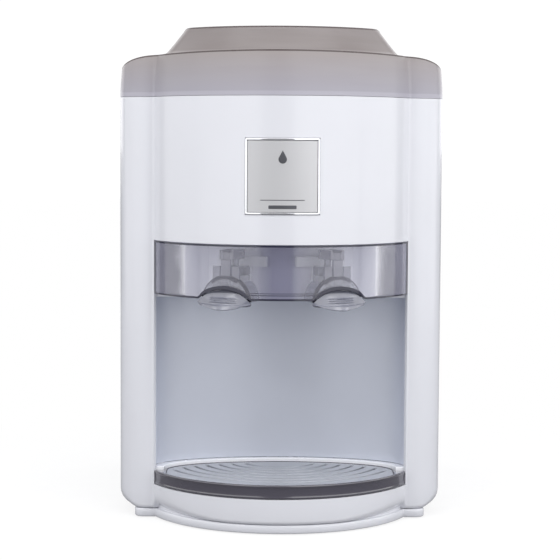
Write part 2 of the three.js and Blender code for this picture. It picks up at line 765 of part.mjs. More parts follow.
function filterManifold() {
  const ys = Object.values(FILTER_YS);
  const block = box(
    FILTER_X - 29,
    FILTER_X + 29,
    Math.min(...ys) - 31,
    Math.max(...ys) + 31,
    FLOOR_Z,
    MANIFOLD_TOP,
  );
  const sockets = ys.map((y) => rod(SOCKET.r, SOCKET.z, MANIFOLD_TOP + 1, FILTER_X, y, 24));
  const ports = ys.map((y) => rod(4, 50, SOCKET.z + 1, FILTER_X, y, 10));
  return cut(block, ...sockets, ...ports);
}

// ---------------------------------------------------------------- cooling

const JACKET = { z0: 88, z1: TANK.z1 + 1, cap: 14 };
const BLOCK = { half: 22, y0: TANK.y + 50, y1: TANK.y + JACKET_R + 1 };
const OUTLET = V3(TANK.x + TANK.r * Math.SQRT1_2, TANK.y - TANK.r * Math.SQRT1_2, 120);
const FEED = V3(-15, 28, JACKET.z1 + JACKET.cap);

// A drilling through the jacket at the tank's outlet, square to the tank's wall.
const outletBore = (r) =>
  rodY(r, -TANK.r - 40, -TANK.r + 0.5, 0, OUTLET.z, 12)
    .rotateZ(Math.PI / 4)
    .translate(TANK.x, TANK.y, 0);

const coldTank = () =>
  cut(
    rod(TANK.r, TANK.z0, TANK.z1, TANK.x, TANK.y, 40),
    rod(TANK.r - 1.5, TANK.z0 + 1.5, TANK.z1 - 1.5, TANK.x, TANK.y, 40),
    rod(HOSE_R + 0.6, TANK.z1 - 9, TANK.z1 + 9, FEED.x, FEED.y, 10),
  );

const tankInsulation = () =>
  cut(
    rod(JACKET_R, JACKET.z0, JACKET.z1, TANK.x, TANK.y, 32),
    rod(TANK.r + GAP, TANK.z0 - GAP, JACKET.z1 + 1, TANK.x, TANK.y, 40),
    box(
      TANK.x - BLOCK.half - GAP,
      TANK.x + BLOCK.half + GAP,
      BLOCK.y0 - GAP,
      BLOCK.y1 + 9,
      COOLER_Z - BLOCK.half - GAP,
      COOLER_Z + BLOCK.half + GAP,
    ),
    outletBore(HOSE_R + 1.3),
  );

const insulationLid = () =>
  cut(
    rod(JACKET_R, JACKET.z1 + GAP, JACKET.z1 + JACKET.cap, TANK.x, TANK.y, 32),
    rod(HOSE_R + 0.6, JACKET.z1 - 1, JACKET.z1 + 30, FEED.x, FEED.y, 10),
  );

function tankStand() {
  const top = JACKET.z0 - GAP;
  const legs = [-1, 1].flatMap((sx) =>
    [-1, 1].map((sy) => rod(5, FLOOR_Z, top - 1, TANK.x + sx * 50, TANK.y + sy * 50, 10)),
  );
  return join(rod(JACKET_R, top - 3, top, TANK.x, TANK.y, 32), ...legs);
}

const coldBlock = () =>
  cut(
    box(
      TANK.x - BLOCK.half,
      TANK.x + BLOCK.half,
      BLOCK.y0,
      BLOCK.y1,
      COOLER_Z - BLOCK.half,
      COOLER_Z + BLOCK.half,
    ),
    rod(TANK.r + GAP, 0, 300, TANK.x, TANK.y, 40),
  );

const PELTIER = { half: 20, y0: BLOCK.y1 + GAP, y1: BLOCK.y1 + GAP + 4 };
const peltierModule = () =>
  box(
    TANK.x - PELTIER.half,
    TANK.x + PELTIER.half,
    PELTIER.y0,
    PELTIER.y1,
    COOLER_Z - PELTIER.half,
    COOLER_Z + PELTIER.half,
  );

const SINK = { half: 46, y0: PELTIER.y1 + GAP, base: 5, fins: 24, pitch: 11.5 };

function heatSink() {
  const finY = SINK.y0 + SINK.base;
  const z0 = COOLER_Z - SINK.half;
  const z1 = COOLER_Z + SINK.half;
  const made = [box(TANK.x - SINK.half, TANK.x + SINK.half, SINK.y0, finY, z0, z1)];
  for (let k = -4; k <= 4; k++) {
    const x = TANK.x + k * SINK.pitch - Math.sign(k) * 0.9;
    made.push(box(x - 0.9, x + 0.9, finY - 1, finY + SINK.fins, z0, z1));
  }
  return join(...made);
}

const FAN = { half: 46, y0: SINK.y0 + SINK.base + SINK.fins + GAP, bore: 43, hub: 17 };
FAN.y1 = FAN.y0 + 25;

function fanFrame() {
  const spoke = (turn) =>
    box(-FAN.bore - 1, FAN.bore + 1, FAN.y0, FAN.y0 + 2.5, -2, 2)
      .rotateY(turn)
      .translate(TANK.x, 0, COOLER_Z);
  return join(
    cut(
      box(
        TANK.x - FAN.half,
        TANK.x + FAN.half,
        FAN.y0,
        FAN.y1,
        COOLER_Z - FAN.half,
        COOLER_Z + FAN.half,
      ),
      rodY(FAN.bore, FAN.y0 - 1, FAN.y1 + 1, TANK.x, COOLER_Z, 32),
    ),
    spoke(Math.PI / 4),
    spoke(-Math.PI / 4),
    rodY(FAN.hub, FAN.y0, FAN.y0 + 5, TANK.x, COOLER_Z, 20),
  );
}

function fanRotor() {
  const y0 = FAN.y0 + 5 + 1;
  const y1 = FAN.y1 - 1;
  const blades = [];
  for (let k = 0; k < 7; k++) {
    const blade = box(-1, 1, y0 + 2, y1 - 1, FAN.hub - 2, FAN.bore - 2)
      .translate(0, -(y0 + y1) / 2, 0)
      .rotateZ(0.6)
      .translate(0, (y0 + y1) / 2, 0)
      .rotateY((2 * Math.PI * k) / 7)
      .translate(TANK.x, 0, COOLER_Z);
    blades.push(blade);
  }
  return join(rodY(FAN.hub, y0, y1, TANK.x, COOLER_Z, 20), ...blades);
}

// ---------------------------------------------------------------- electrics and rear fittings

function powerBoard() {
  const z = FLOOR_Z + 5;
  const x = TANK.x;
  const y = TANK.y;
  const standoffs = [-36, 36].flatMap((dx) =>
    [-38, 38].map((dy) => rod(3, FLOOR_Z, z + 1, x + dx, y + dy, 8)),
  );
  return join(
    box(x - 41, x + 41, y - 44, y + 44, z, z + 1.6),
    box(x - 30, x - 2, y - 30, y + 4, z + 1, z + 26),
    rod(9, z + 1, z + 30, x + 16, y - 24, 16),
    rod(9, z + 1, z + 30, x + 16, y - 2, 16),
    box(x + 2, x + 34, y + 18, y + 30, z + 1, z + 20),
    box(x - 34, x - 12, y + 14, y + 36, z + 1, z + 14),
    ...standoffs,
  );
}

const ROCKER = { tilt: 8, y: BACK - 4 };

function switchHousing() {
  const { x, z, halfX, halfZ } = SWITCH;
  return cut(
    join(
      box(x - halfX, x + halfX, BACK - 18, BACK + 1, z - halfZ, z + halfZ),
      box(x - halfX - 2, x + halfX + 2, BACK + GAP, BACK + 2, z - halfZ - 2, z + halfZ + 2),
    ),
    box(x - halfX + 1.5, x + halfX - 1.5, BACK - 15, BACK + 9, z - 10.5, z + 10.5),
  );
}

function switchRocker() {
  const { x, z, halfX } = SWITCH;
  const side = [V2(-6, -9.2), V2(9.4, -9.2), V2(6.2, 0), V2(9.4, 9.2), V2(-6, 9.2)];
  const half = halfX - 1.5 - 0.4;
  return common(alongX(side, x - half, x + half), rodX(10, x - 9, x + 9, 0, 0, 24))
    .rotateX(THREE.MathUtils.degToRad(-ROCKER.tilt))
    .translate(0, ROCKER.y, z);
}

const cordGland = () =>
  cut(
    join(
      rodY(GLAND.r, BACK - 10, BACK + 2, GLAND.x, GLAND.z),
      rodY(GLAND.collar, BACK + GAP, BACK + 7, GLAND.x, GLAND.z),
    ),
    rodY(GLAND.bore, BACK - 11, BACK + 8, GLAND.x, GLAND.z, 14),
  );

const inletFitting = () =>
  cut(
    join(
      rodY(PORT_R, BACK - 20, BACK + FITTING_PROUD, INLET.x, INLET.z),
      rodY(10, BACK + GAP, BACK + 4, INLET.x, INLET.z, 6),
      rodY(8, BACK + 5, BACK + FITTING_PROUD, INLET.x, INLET.z),
      rodY(10, BACK - 10, BACK - WALL - GAP, INLET.x, INLET.z, 6),
    ),
    rodY(HOSE_R + 0.2, BACK - 21, BACK + 99, INLET.x, INLET.z, 14),
  );

const REGULATOR = { y0: BACK - 50, y1: BACK - 20 - GAP };

const pressureRegulator = () =>
  cut(
    join(
      rodY(12, REGULATOR.y0 + 5, REGULATOR.y1 - 5, INLET.x, INLET.z),
      rodY(7, REGULATOR.y0, REGULATOR.y1, INLET.x, INLET.z),
    ),
    rodY(HOSE_R + 0.2, 0, BACK, INLET.x, INLET.z, 12),
  );

const drainFitting = () =>
  cut(
    join(
      rodY(PORT_R, BACK - 22, BACK + 1, DRAIN.x, DRAIN.z),
      rodY(9, BACK - 8, BACK - WALL - GAP, DRAIN.x, DRAIN.z, 6),
    ),
    rodY(4, BACK - 23, BACK + 9, DRAIN.x, DRAIN.z, 14),
  );

function drainPlug() {
  const grips = rodY(8.6, BACK + 1 + GAP, BACK + FITTING_PROUD, DRAIN.x, DRAIN.z, 12);
  return join(grips, rodY(3.5, BACK - 8, BACK + 3, DRAIN.x, DRAIN.z, 14));
}

// ---------------------------------------------------------------- hoses

// A point on a tap's radius, a distance r from the bulge's centre.
const tapPoint = (side, r, z) =>
  V3(side * r * Math.sin(TAP_TURN), BULGE_Y - r * Math.cos(TAP_TURN), z);

const SHANK_END = 58 - GAP;
const HOSE_GAP = 1.5; // a hose's end face is not quite square to its port
const MANIFOLD_SIDE = FILTER_X - 29 - HOSE_GAP;

const HOSES = {
  inlet_hose: [
    V3(INLET.x, REGULATOR.y0 - GAP, INLET.z),
    V3(INLET.x, REGULATOR.y0 - 12, INLET.z - 1),
    V3(INLET.x, 101, 48),
    V3(INLET.x, FILTER_YS.sediment + 31 + HOSE_GAP, 46),
  ],
  feed_hose: [
    V3(MANIFOLD_SIDE, 30, 50),
    V3(50, 30, 52),
    V3(45.5, 28, 64),
    V3(45.5, 24, 150),
    V3(45, 22, 235),
    V3(32, 24, 268),
    V3(2, 27, 280),
    V3(FEED.x + 1, FEED.y, 270),
    V3(FEED.x, FEED.y, 250),
    V3(FEED.x, FEED.y, 228),
  ],
  ambient_hose: [
    V3(MANIFOLD_SIDE, -22, 50),
    V3(48, -23, 52),
    V3(46, -30, 72),
    V3(46, -40, 190),
    V3(38, -50, 228),
    V3(15, -68, 238),
    V3(-7, -84, 226),
    tapPoint(-1, SHANK_END - 14, SHANK_Z + 1),
    tapPoint(-1, SHANK_END, SHANK_Z),
  ],
  cold_hose: [
    V3(OUTLET.x + 0.4, OUTLET.y - 0.4, OUTLET.z),
    V3(OUTLET.x + 14, OUTLET.y - 14, OUTLET.z),
    V3(OUTLET.x + 25, OUTLET.y - 25, OUTLET.z + 10),
    V3(28, -47, 160),
    V3(26, -50, 196),
    V3(20, -62, 212),
    tapPoint(1, SHANK_END - 16, SHANK_Z + 2),
    tapPoint(1, SHANK_END, SHANK_Z),
  ],
};

// ---------------------------------------------------------------- assembly

const dispenser = new THREE.Group();

function add(parent, name, geometry, finish) {
  const material = new THREE.MeshStandardMaterial(FINISHES[finish]);
  const mesh = new THREE.Mesh(toGeometry(toSolid(geometry)), material);
  mesh.name = name;
  parent.add(mesh);
}

add(dispenser, "front_housing", frontHousing(), "white");
add(dispenser, "left_side_panel", sidePanel(-1), "white");
add(dispenser, "right_side_panel", sidePanel(1), "white");
add(dispenser, "rear_panel", rearPanel(), "white");
add(dispenser, "rear_screw_left", rearScrew(SCREWS[0]), "steel");
add(dispenser, "rear_screw_right", rearScrew(SCREWS[1]), "steel");
add(dispenser, "base_plate", basePlate(), "white");
add(dispenser, "top_deck", topDeck(), "white");
add(dispenser, "lid", lid(), "lid");
add(dispenser, "badge_plate", badgePlate(), "satin");
add(dispenser, "badge_frame", badgeFrame(), "chrome");
add(dispenser, "niche_liner", nicheLiner(), "liner");
add(dispenser, "niche_floor", nicheFloor(), "white");
add(dispenser, "tap_panel", tapPanel(), "liner");
add(dispenser, "visor", visor(), "smoke");
add(dispenser, "drip_tray", dripTray(), "smoke");
add(dispenser, "drip_grille", dripGrille(), "grille");

for (const [sideName, side] of Object.entries(SIDES)) {
  add(dispenser, `foot_front_${sideName}`, foot(side * FOOT.x, FOOT.front), "rubber");
  add(dispenser, `foot_rear_${sideName}`, foot(side * FOOT.x, FOOT.back), "rubber");
  const tap = new THREE.Group();
  tap.position.set(0, BULGE_Y, 0);
  tap.rotation.z = side * TAP_TURN;
  add(tap, `tap_body_${sideName}`, tapBody(), "white");
  add(tap, `tap_bonnet_${sideName}`, tapBonnet(), "clear");
  add(tap, `tap_stem_${sideName}`, tapStem(), "clear");
  add(tap, `tap_seal_${sideName}`, tapSeal(), "silicone");
  add(tap, `tap_spring_${sideName}`, tapSpring(), "steel");
  add(tap, `tap_lever_${sideName}`, tapLever(), "clear");
  add(tap, `lever_pin_${sideName}`, leverPin(), "steel");
  dispenser.add(tap);
}

for (const [kind, y] of Object.entries(FILTER_YS)) {
  add(dispenser, `${kind}_cartridge`, cartridge(y), "filter");
}
add(dispenser, "filter_manifold", filterManifold(), "black");
add(dispenser, "cold_tank", coldTank(), "steel");
add(dispenser, "tank_insulation", tankInsulation(), "foam");
add(dispenser, "insulation_lid", insulationLid(), "foam");
add(dispenser, "tank_stand", tankStand(), "black");
add(dispenser, "cold_block", coldBlock(), "aluminium");
add(dispenser, "peltier_module", peltierModule(), "ceramic");
add(dispenser, "heat_sink", heatSink(), "aluminium");
add(dispenser, "fan_frame", fanFrame(), "black");
add(dispenser, "fan_rotor", fanRotor(), "black");
add(dispenser, "power_board", powerBoard(), "board");
add(dispenser, "switch_housing", switchHousing(), "black");
add(dispenser, "switch_rocker", switchRocker(), "black");
add(dispenser, "cord_gland", cordGland(), "black");
add(dispenser, "inlet_fitting", inletFitting(), "white");
add(dispenser, "pressure_regulator", pressureRegulator(), "white");
add(dispenser, "drain_fitting", drainFitting(), "white");
add(dispenser, "drain_plug", drainPlug(), "silicone");
for (const [name, points] of Object.entries(HOSES)) {
  add(dispenser, name, bar(points, HOSE_R, 3 * points.length), "hose");
}

export default dispenser;
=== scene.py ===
"""Looks of a countertop water dispenser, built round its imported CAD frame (Blender 4.5).

Shapes are worked out in millimetres, in the frame's axes, and become metres as they turn into meshes.
"""

import math

import bmesh
import bpy
from mathutils import Matrix, Vector


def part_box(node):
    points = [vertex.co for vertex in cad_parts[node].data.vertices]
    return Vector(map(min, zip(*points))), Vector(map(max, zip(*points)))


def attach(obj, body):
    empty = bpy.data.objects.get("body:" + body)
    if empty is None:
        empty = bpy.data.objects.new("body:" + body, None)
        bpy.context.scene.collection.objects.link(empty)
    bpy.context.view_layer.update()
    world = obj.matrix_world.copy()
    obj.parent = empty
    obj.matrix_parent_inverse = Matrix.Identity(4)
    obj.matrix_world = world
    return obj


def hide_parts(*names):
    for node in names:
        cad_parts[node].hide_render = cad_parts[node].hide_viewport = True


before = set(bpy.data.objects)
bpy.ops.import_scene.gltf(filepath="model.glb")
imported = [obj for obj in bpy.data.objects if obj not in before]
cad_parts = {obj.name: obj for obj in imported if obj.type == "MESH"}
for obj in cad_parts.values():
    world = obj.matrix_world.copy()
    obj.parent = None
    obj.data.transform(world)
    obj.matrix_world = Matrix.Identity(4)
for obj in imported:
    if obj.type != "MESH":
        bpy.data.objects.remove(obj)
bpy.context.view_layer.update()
MM = 0.001

# ---- sizes, from the frame


def node_box(name):
    low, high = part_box(name)
    return low / MM, high / MM


def centre_of(name):
    low, high = node_box(name)
    return (low + high) / 2


def turn_of(x, r):
    """How far round a curve of radius r the point x to the right of its middle is, in degrees."""
    return math.degrees(math.asin(x / r))


HOUSING_LOW, HOUSING_HIGH = node_box("front_housing")
REAR_LOW, REAR_HIGH = node_box("rear_panel")
LID_HIGH = node_box("lid")[1]
TRAY_LOW, TRAY_HIGH = node_box("drip_tray")
GRILLE_LOW, GRILLE_HIGH = node_box("drip_grille")
VISOR_LOW, VISOR_HIGH = node_box("visor")
LINER_HIGH = node_box("niche_liner")[1]
FLOOR_HIGH = node_box("niche_floor")[1]
BADGE_LOW, BADGE_HIGH = node_box("badge_frame")
PLINTH_LOW, PLINTH_HIGH = node_box("base_plate")

GAP = 0.3  # between neighbouring pieces
WALL = 3.0  # of the casing
CLOSE = 0.01  # positions this near count as the same
HALF = HOUSING_HIGH.x
BASE_Z = HOUSING_LOW.z
SPLIT_Y = HOUSING_HIGH.y
SEAM_Z = HOUSING_HIGH.z + GAP / 2
TOP_Z = LID_HIGH.z
BACK = REAR_HIGH.y
EDGE_R = 14.0

BULGE_R = 125.0
BULGE_Y = HOUSING_LOW.y + BULGE_R
BULGE_STEP = 2.2  # degrees between the casing's lines round the bulge
WINDOW = TRAY_HIGH.x + 0.6
WINDOW_Z = TRAY_LOW.z - GAP
WINDOW_TOP = VISOR_HIGH.z + 2 * GAP
COLUMN_Y = BULGE_Y - math.sqrt(BULGE_R**2 - WINDOW**2)
CREASE_R = 4.0
CREASE_X = math.sqrt((BULGE_R + CREASE_R) ** 2 - (COLUMN_Y - CREASE_R - BULGE_Y) ** 2)
CORNER_R = HALF - CREASE_X
BULGE_TURN = turn_of(CREASE_X, BULGE_R + CREASE_R)

NICHE_Y = COLUMN_Y + WALL + GAP
LINER_WALL = 2
NICHE_DEPTH = LINER_HIGH.y - LINER_WALL - NICHE_Y
LEDGE_Z = FLOOR_HIGH.z

TAP_X = 51.0
TAP_TURN = turn_of(TAP_X, BULGE_R)
TAP_R = 98.0
SIDES = {"left": -1, "right": 1}

# ---- plan outlines


def spread(stops, step):
    """Values from the first stop to the last, through every stop, at most step apart."""
    values = [stops[0]]
    for a, b in zip(stops, stops[1:]):
        count = max(1, math.ceil(abs(b - a) / step - 1e-6))
        values += [a + (b - a) * k / count for k in range(1, count + 1)]
    return values


def direction(degrees):
    t = math.radians(degrees)
    return Vector((math.cos(t), math.sin(t)))


def round_bulge(r, turn):
    """The point at radius r from the bulge's middle, turned round from straight ahead."""
    return Vector((0, BULGE_Y)) + r * direction(turn - 90)


def arc(cx, cy, rx, start, end, step, ry=None):
    ry = rx if ry is None else ry
    turns = [direction(a) for a in spread([start, end], step)]
    return [Vector((cx + rx * d.x, cy + ry * d.y)) for d in turns]


def mirrored(half):
    """A right-hand half outline, from the middle outwards, and its mirror image before it."""
    left = [Vector((-p.x, *p[1:])) for p in reversed(half)]
    full = left + list(half)
    return [p for k, p in enumerate(full) if (p - full[k - 1]).length > 1e-4]


def resampled(points, count):
    """The same line with count points, evenly spaced."""
    lengths = [0.0]
    for a, b in zip(points, points[1:]):
        lengths.append(lengths[-1] + (b - a).length)
    made, k = [], 0
    for j in range(count):
        want = lengths[-1] * j / (count - 1)
        while k + 2 < len(points) and lengths[k + 1] < want:
            k += 1
        share = (want - lengths[k]) / max(lengths[k + 1] - lengths[k], 1e-9)
        made.append(points[k].lerp(points[k + 1], share))
    return made


def smooth(t):
    """Eases from 0 to 1 as t does."""
    t = min(1.0, max(0.0, t))
    return t * t * (3 - 2 * t)


BADGE_X = BADGE_HIGH.x + GAP
BADGE_TURN = turn_of(BADGE_X, BULGE_R)


def case_front():
    """Right half of the casing's front in plan, as (point, outward normal), up to the flat side."""
    made = []
    for a in spread([0, BADGE_TURN, BULGE_TURN], BULGE_STEP):
        made.append((round_bulge(BULGE_R, a), direction(a - 90)))
    crease = Vector((CREASE_X, COLUMN_Y - CREASE_R))
    at_window = math.degrees(math.acos((WINDOW - CREASE_X) / CREASE_R))
    for a in spread([90 + BULGE_TURN, at_window, 90], 9)[1:]:
        made.append((crease + CREASE_R * direction(a), -direction(a)))
    corner = Vector((CREASE_X, COLUMN_Y + CORNER_R))
    for a in spread([-90, 0], 6)[1:]:
        made.append((corner + CORNER_R * direction(a), direction(a)))
    return made


# ---- meshes


def new_object(name, mesh):
    made = bpy.data.objects.new(name, mesh)
    bpy.context.scene.collection.objects.link(made)
    return made


def add_grid(bm, rows, closed=False, skip=None, second=None):
    """Quads between rows of points in millimetres.

    skip(i, j) leaves out the cell right of i and above j; second(i, j) gives it the second finish.
    """
    verts = [[bm.verts.new(Vector(p) * MM) for p in row] for row in rows]
    count = len(rows[0])
    for j in range(len(rows) - 1):
        for i in range(count if closed else count - 1):
            if skip and skip(i, j):
                continue
            k = (i + 1) % count
            face = bm.faces.new((verts[j][i], verts[j][k], verts[j + 1][k], verts[j + 1][i]))
            face.material_index = int(bool(second and second(i, j)))
    loose = [v for v in bm.verts if not v.link_faces]
    bmesh.ops.delete(bm, geom=loose, context="VERTS")
    return verts


def add_skin(bm, rings, cap_first=True, cap_last=True, second=None):
    """A skin over closed rings that have the same number of points, with its ends filled."""
    verts = add_grid(bm, rings, closed=True, second=second)
    if cap_first:
        bm.faces.new(list(reversed(verts[0])))
    if cap_last:
        bm.faces.new(verts[-1])


def add_turned(bm, profile, x, y, sides=48):
    """An upright turned solid. The profile is (radius, height), from its lower cap to its upper."""
    rings = []
    for r, z in profile:
        ring = [direction(360 * k / sides) * max(r, CLOSE) for k in range(sides)]
        rings.append([(x + p.x, y + p.y, z) for p in ring])
    add_skin(bm, rings)


def add_block(bm, low, high):
    """A square block between two corners; its edges are rounded by the piece's bevel."""
    (x0, y0, z0), (x1, y1, z1) = low, high
    ring = [(x0, y0), (x1, y0), (x1, y1), (x0, y1)]
    add_skin(bm, [[(x, y, z) for x, y in ring] for z in (z0, z1)])


def plate_mesh(name, outer, holes, thickness, bevel):
    """A flat plate in x and y, centred on z 0, with rounded edges and any number of holes."""
    curve = bpy.data.curves.new(name, "CURVE")
    curve.dimensions = "2D"
    curve.fill_mode = "BOTH"
    curve.extrude = (thickness / 2 - bevel) * MM
    curve.bevel_depth = bevel * MM
    curve.bevel_resolution = 2
    curve.offset = -bevel * MM
    for loop, wanted in [(outer, 1)] + [(h, -1) for h in holes]:
        area = sum(a.x * b.y - b.x * a.y for a, b in zip(loop, loop[1:] + loop[:1]))
        ordered = loop if area * wanted > 0 else loop[::-1]
        spline = curve.splines.new("POLY")
        spline.points.add(len(ordered) - 1)
        for point, p in zip(spline.points, ordered):
            point.co = (p.x * MM, p.y * MM, 0, 1)
        spline.use_cyclic_u = True
    shape = new_object(name + "_outline", curve)
    bpy.context.view_layer.update()
    mesh = bpy.data.meshes.new_from_object(shape.evaluated_get(bpy.context.evaluated_depsgraph_get()))
    bpy.data.objects.remove(shape)
    bm = bmesh.new()
    bm.from_mesh(mesh)
    bmesh.ops.remove_doubles(bm, verts=bm.verts, dist=1e-7)
    bmesh.ops.recalc_face_normals(bm, faces=bm.faces)
    return bm


def moved(bm, change):
    """Sends every vertex, in millimetres, through change."""
    for v in bm.verts:
        v.co = Vector(change(v.co / MM)) * MM
    return bm


def bevel_of(made, width, segments=3, angle=35):
    bevel = made.modifiers.new("edges", "BEVEL")
    bevel.width = width * MM
    bevel.segments = segments
    bevel.limit_method = "ANGLE"
    bevel.angle_limit = math.radians(angle)
    bevel.harden_normals = True


def even_shading(made):
    """Keeps large flat faces from shading like the rounded edges beside them."""
    made.modifiers.new("normals", "WEIGHTED_NORMAL").keep_sharp = True


def faced_out(bm):
    """Turns a closed mesh whose faces all point inwards."""
    if all(edge.is_manifold for edge in bm.edges) and bm.calc_volume(signed=True) < 0:
        bmesh.ops.reverse_faces(bm, faces=bm.faces)


def piece(name, bm, body, finishes, shell=0, bevel=0, replaces=(), side=0,
          even=True, recalc=True):
    """Turns a bmesh into a piece that rides on a body.

    shell is a wall's thickness inwards, or outwards if it is negative. side turns a tap's piece to its
    own place, and recalc is off for open skins whose faces are already in order.
    """
    if recalc:
        bmesh.ops.recalc_face_normals(bm, faces=bm.faces)
    faced_out(bm)
    if side:
        turn = Matrix.Rotation(math.radians(side * TAP_TURN), 4, "Z")
        bm.transform(Matrix.Translation((0, BULGE_Y * MM, 0)) @ turn)
    mesh = bpy.data.meshes.new(name)
    bm.to_mesh(mesh)
    bm.free()
    mesh.shade_smooth()
    made = new_object(name, mesh)
    if shell:
        solid = made.modifiers.new("wall", "SOLIDIFY")
        solid.thickness = abs(shell) * MM
        solid.offset = -1 if shell > 0 else 1
        solid.use_even_offset = even
    if bevel:
        bevel_of(made, bevel)
    else:
        even_shading(made)
    for finish in finishes.split():
        mesh.materials.append(MATERIALS[finish])
    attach(made, body)
    if replaces:
        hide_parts(*replaces)
    return made


# ---- materials


def node(tree, kind, inputs=None, **settings):
    made = tree.nodes.new("ShaderNode" + kind)
    for key, value in settings.items():
        setattr(made, key, value)
    for key, value in (inputs or {}).items():
        if isinstance(value, bpy.types.NodeSocket):
            tree.links.new(value, made.inputs[key])
        else:
            made.inputs[key].default_value = value
    return made


def srgb(r, g, b):
    """A colour written as 0-255 display values."""
    levels = [c / 255 for c in (r, g, b)]
    return tuple(c / 12.92 if c <= 0.04045 else ((c + 0.055) / 1.055) ** 2.4 for c in levels)


def noise(tree, vector, scale, detail=3.0, roughness=0.55):
    inputs = {"Vector": vector, "Scale": scale, "Detail": detail, "Roughness": roughness}
    return node(tree, "TexNoise", inputs).outputs["Fac"]


def spanned(tree, value, low, high, from_low=0.3, from_high=0.7):
    """Maps a noise value onto a range."""
    inputs = {"Value": value, "From Min": from_low, "From Max": from_high, "To Min": low, "To Max": high}
    return node(tree, "MapRange", inputs).outputs["Result"]


def stretched(tree, vector, scale):
    return node(tree, "Mapping", {"Vector": vector, "Scale": scale}).outputs["Vector"]


def mixed(tree, share, a, b):
    """A mix of two colours, each a colour or a socket."""
    mix = node(tree, "Mix", data_type="RGBA")
    sockets = [s for s in mix.inputs if s.type == "RGBA"]
    tree.links.new(share, mix.inputs["Factor"])
    for socket, value in zip(sockets, (a, b)):
        if isinstance(value, bpy.types.NodeSocket):
            tree.links.new(value, socket)
        else:
            socket.default_value = (*value, 1)
    return next(s for s in mix.outputs if s.type == "RGBA")


def shaded(colour, factor):
    return tuple(min(1.0, c * factor) for c in colour)


def new_material():
    made = bpy.data.materials.new("finish")
    made.use_nodes = True
    made.node_tree.nodes.clear()
    return made, made.node_tree


def plastic(colour, roughness, mottle=0.03, grain=900.0, bump=0.05, stretch=(1, 1, 1),
            spread_of_roughness=0.05, colour_of=None, **settings):
    """Moulded plastic, rubber, foam or metal: cloudy colour, uneven gloss and a fine grain."""
    made, tree = new_material()
    colour = srgb(*colour)
    coords = node(tree, "TexCoord").outputs["Object"]
    cloud = noise(tree, coords, 14.0)
    fine = noise(tree, stretched(tree, coords, stretch), grain, 2.0)
    base = mixed(tree, spanned(tree, cloud, 0, 1), shaded(colour, 1 - mottle), shaded(colour, 1 + mottle))
    if colour_of:
        base = colour_of(tree, coords, base)
    lowest = max(0.02, roughness - spread_of_roughness)
    gloss = spanned(tree, noise(tree, coords, 40.0), lowest, roughness + spread_of_roughness)
    relief = node(tree, "Bump", {"Height": fine, "Strength": bump, "Distance": 0.0002})
    shader = node(
        tree,
        "BsdfPrincipled",
        {"Base Color": base, "Roughness": gloss, "Normal": relief.outputs["Normal"], **settings},
    )
    node(tree, "OutputMaterial", {"Surface": shader.outputs["BSDF"]})
    return made


def glassy(tint, body_colour, roughness, body, edge, bump=0.02, shine=0.4):
    """Thin tinted see-through plastic: clear and hazy parts mixed, under a glossy skin.

    body and edge are how solid it looks head-on and at its edges.
    """
    made, tree = new_material()
    tint, body_colour = srgb(*tint), srgb(*body_colour)
    coords = node(tree, "TexCoord").outputs["Object"]
    ripple = noise(tree, coords, 220.0, 2.0)
    relief = node(tree, "Bump", {"Height": ripple, "Strength": bump, "Distance": 0.0003}).outputs["Normal"]
    cloud = spanned(tree, noise(tree, coords, 18.0), 0, 1)
    base = mixed(tree, cloud, shaded(body_colour, 0.95), shaded(body_colour, 1.05))
    gloss = spanned(tree, noise(tree, coords, 50.0), max(0.02, roughness - 0.02), roughness + 0.03)
    haze = node(
        tree,
        "BsdfPrincipled",
        {"Base Color": base, "Roughness": gloss, "Normal": relief, "Specular IOR Level": 0.5},
    )
    clear = node(tree, "BsdfTransparent", {"Color": (*tint, 1)})
    weight = node(tree, "LayerWeight", {"Blend": shine, "Normal": relief})
    solid = spanned(tree, weight.outputs["Facing"], body, edge, 0.0, 1.0)
    inner = node(tree, "MixShader", {0: solid, 1: clear.outputs["BSDF"], 2: haze.outputs["BSDF"]})
    skin = node(
        tree,
        "BsdfAnisotropic",
        {"Color": (1, 1, 1, 1), "Roughness": gloss, "Normal": relief},
    )
    outer = node(
        tree,
        "MixShader",
        {0: weight.outputs["Fresnel"], 1: inner.outputs["Shader"], 2: skin.outputs["BSDF"]},
    )
    node(tree, "OutputMaterial", {"Surface": outer.outputs["Shader"]})
    return made


# painted shade between the taps: its colour, and how far out from the middle it is full and gone
PANEL_SHADE = {"colour": srgb(160, 160, 186), "full": 8.0, "none": 30.0}
# foot is painted light, paler and cooler towards the seam; top is painted shade over the raised middle
LID_COLOURS_AND_PAINTED_LIGHT = {
    "foot": srgb(166, 164, 175),
    "top": srgb(134, 127, 126),
    "streak": srgb(190, 186, 188),
    "lip": srgb(186, 184, 194),
}
FOOT_PAINTED_LIGHT_FADE = (0.0, 36.0)  # heights above the seam over which the painted light fades out
LIP_FADE = (3.4, 4.4)
TOP_PAINTED_SHADE_FADE = (-23.0, -20.0)  # heights from the top over which the painted shade comes in
STREAKS = {"stretch": (2.2, 2.2, 30), "scale": 6.0, "share": 0.06}


def panel_painted_shade(tree, coords, base):
    """Painted shade: darker in the middle, between the taps, where the least light comes in."""
    across = node(tree, "SeparateXYZ", {"Vector": coords}).outputs["X"]
    away = node(tree, "Math", {0: across}, operation="ABSOLUTE").outputs["Value"]
    share = spanned(tree, away, 1, 0, PANEL_SHADE["full"] * MM, PANEL_SHADE["none"] * MM)
    return mixed(tree, share, base, PANEL_SHADE["colour"])


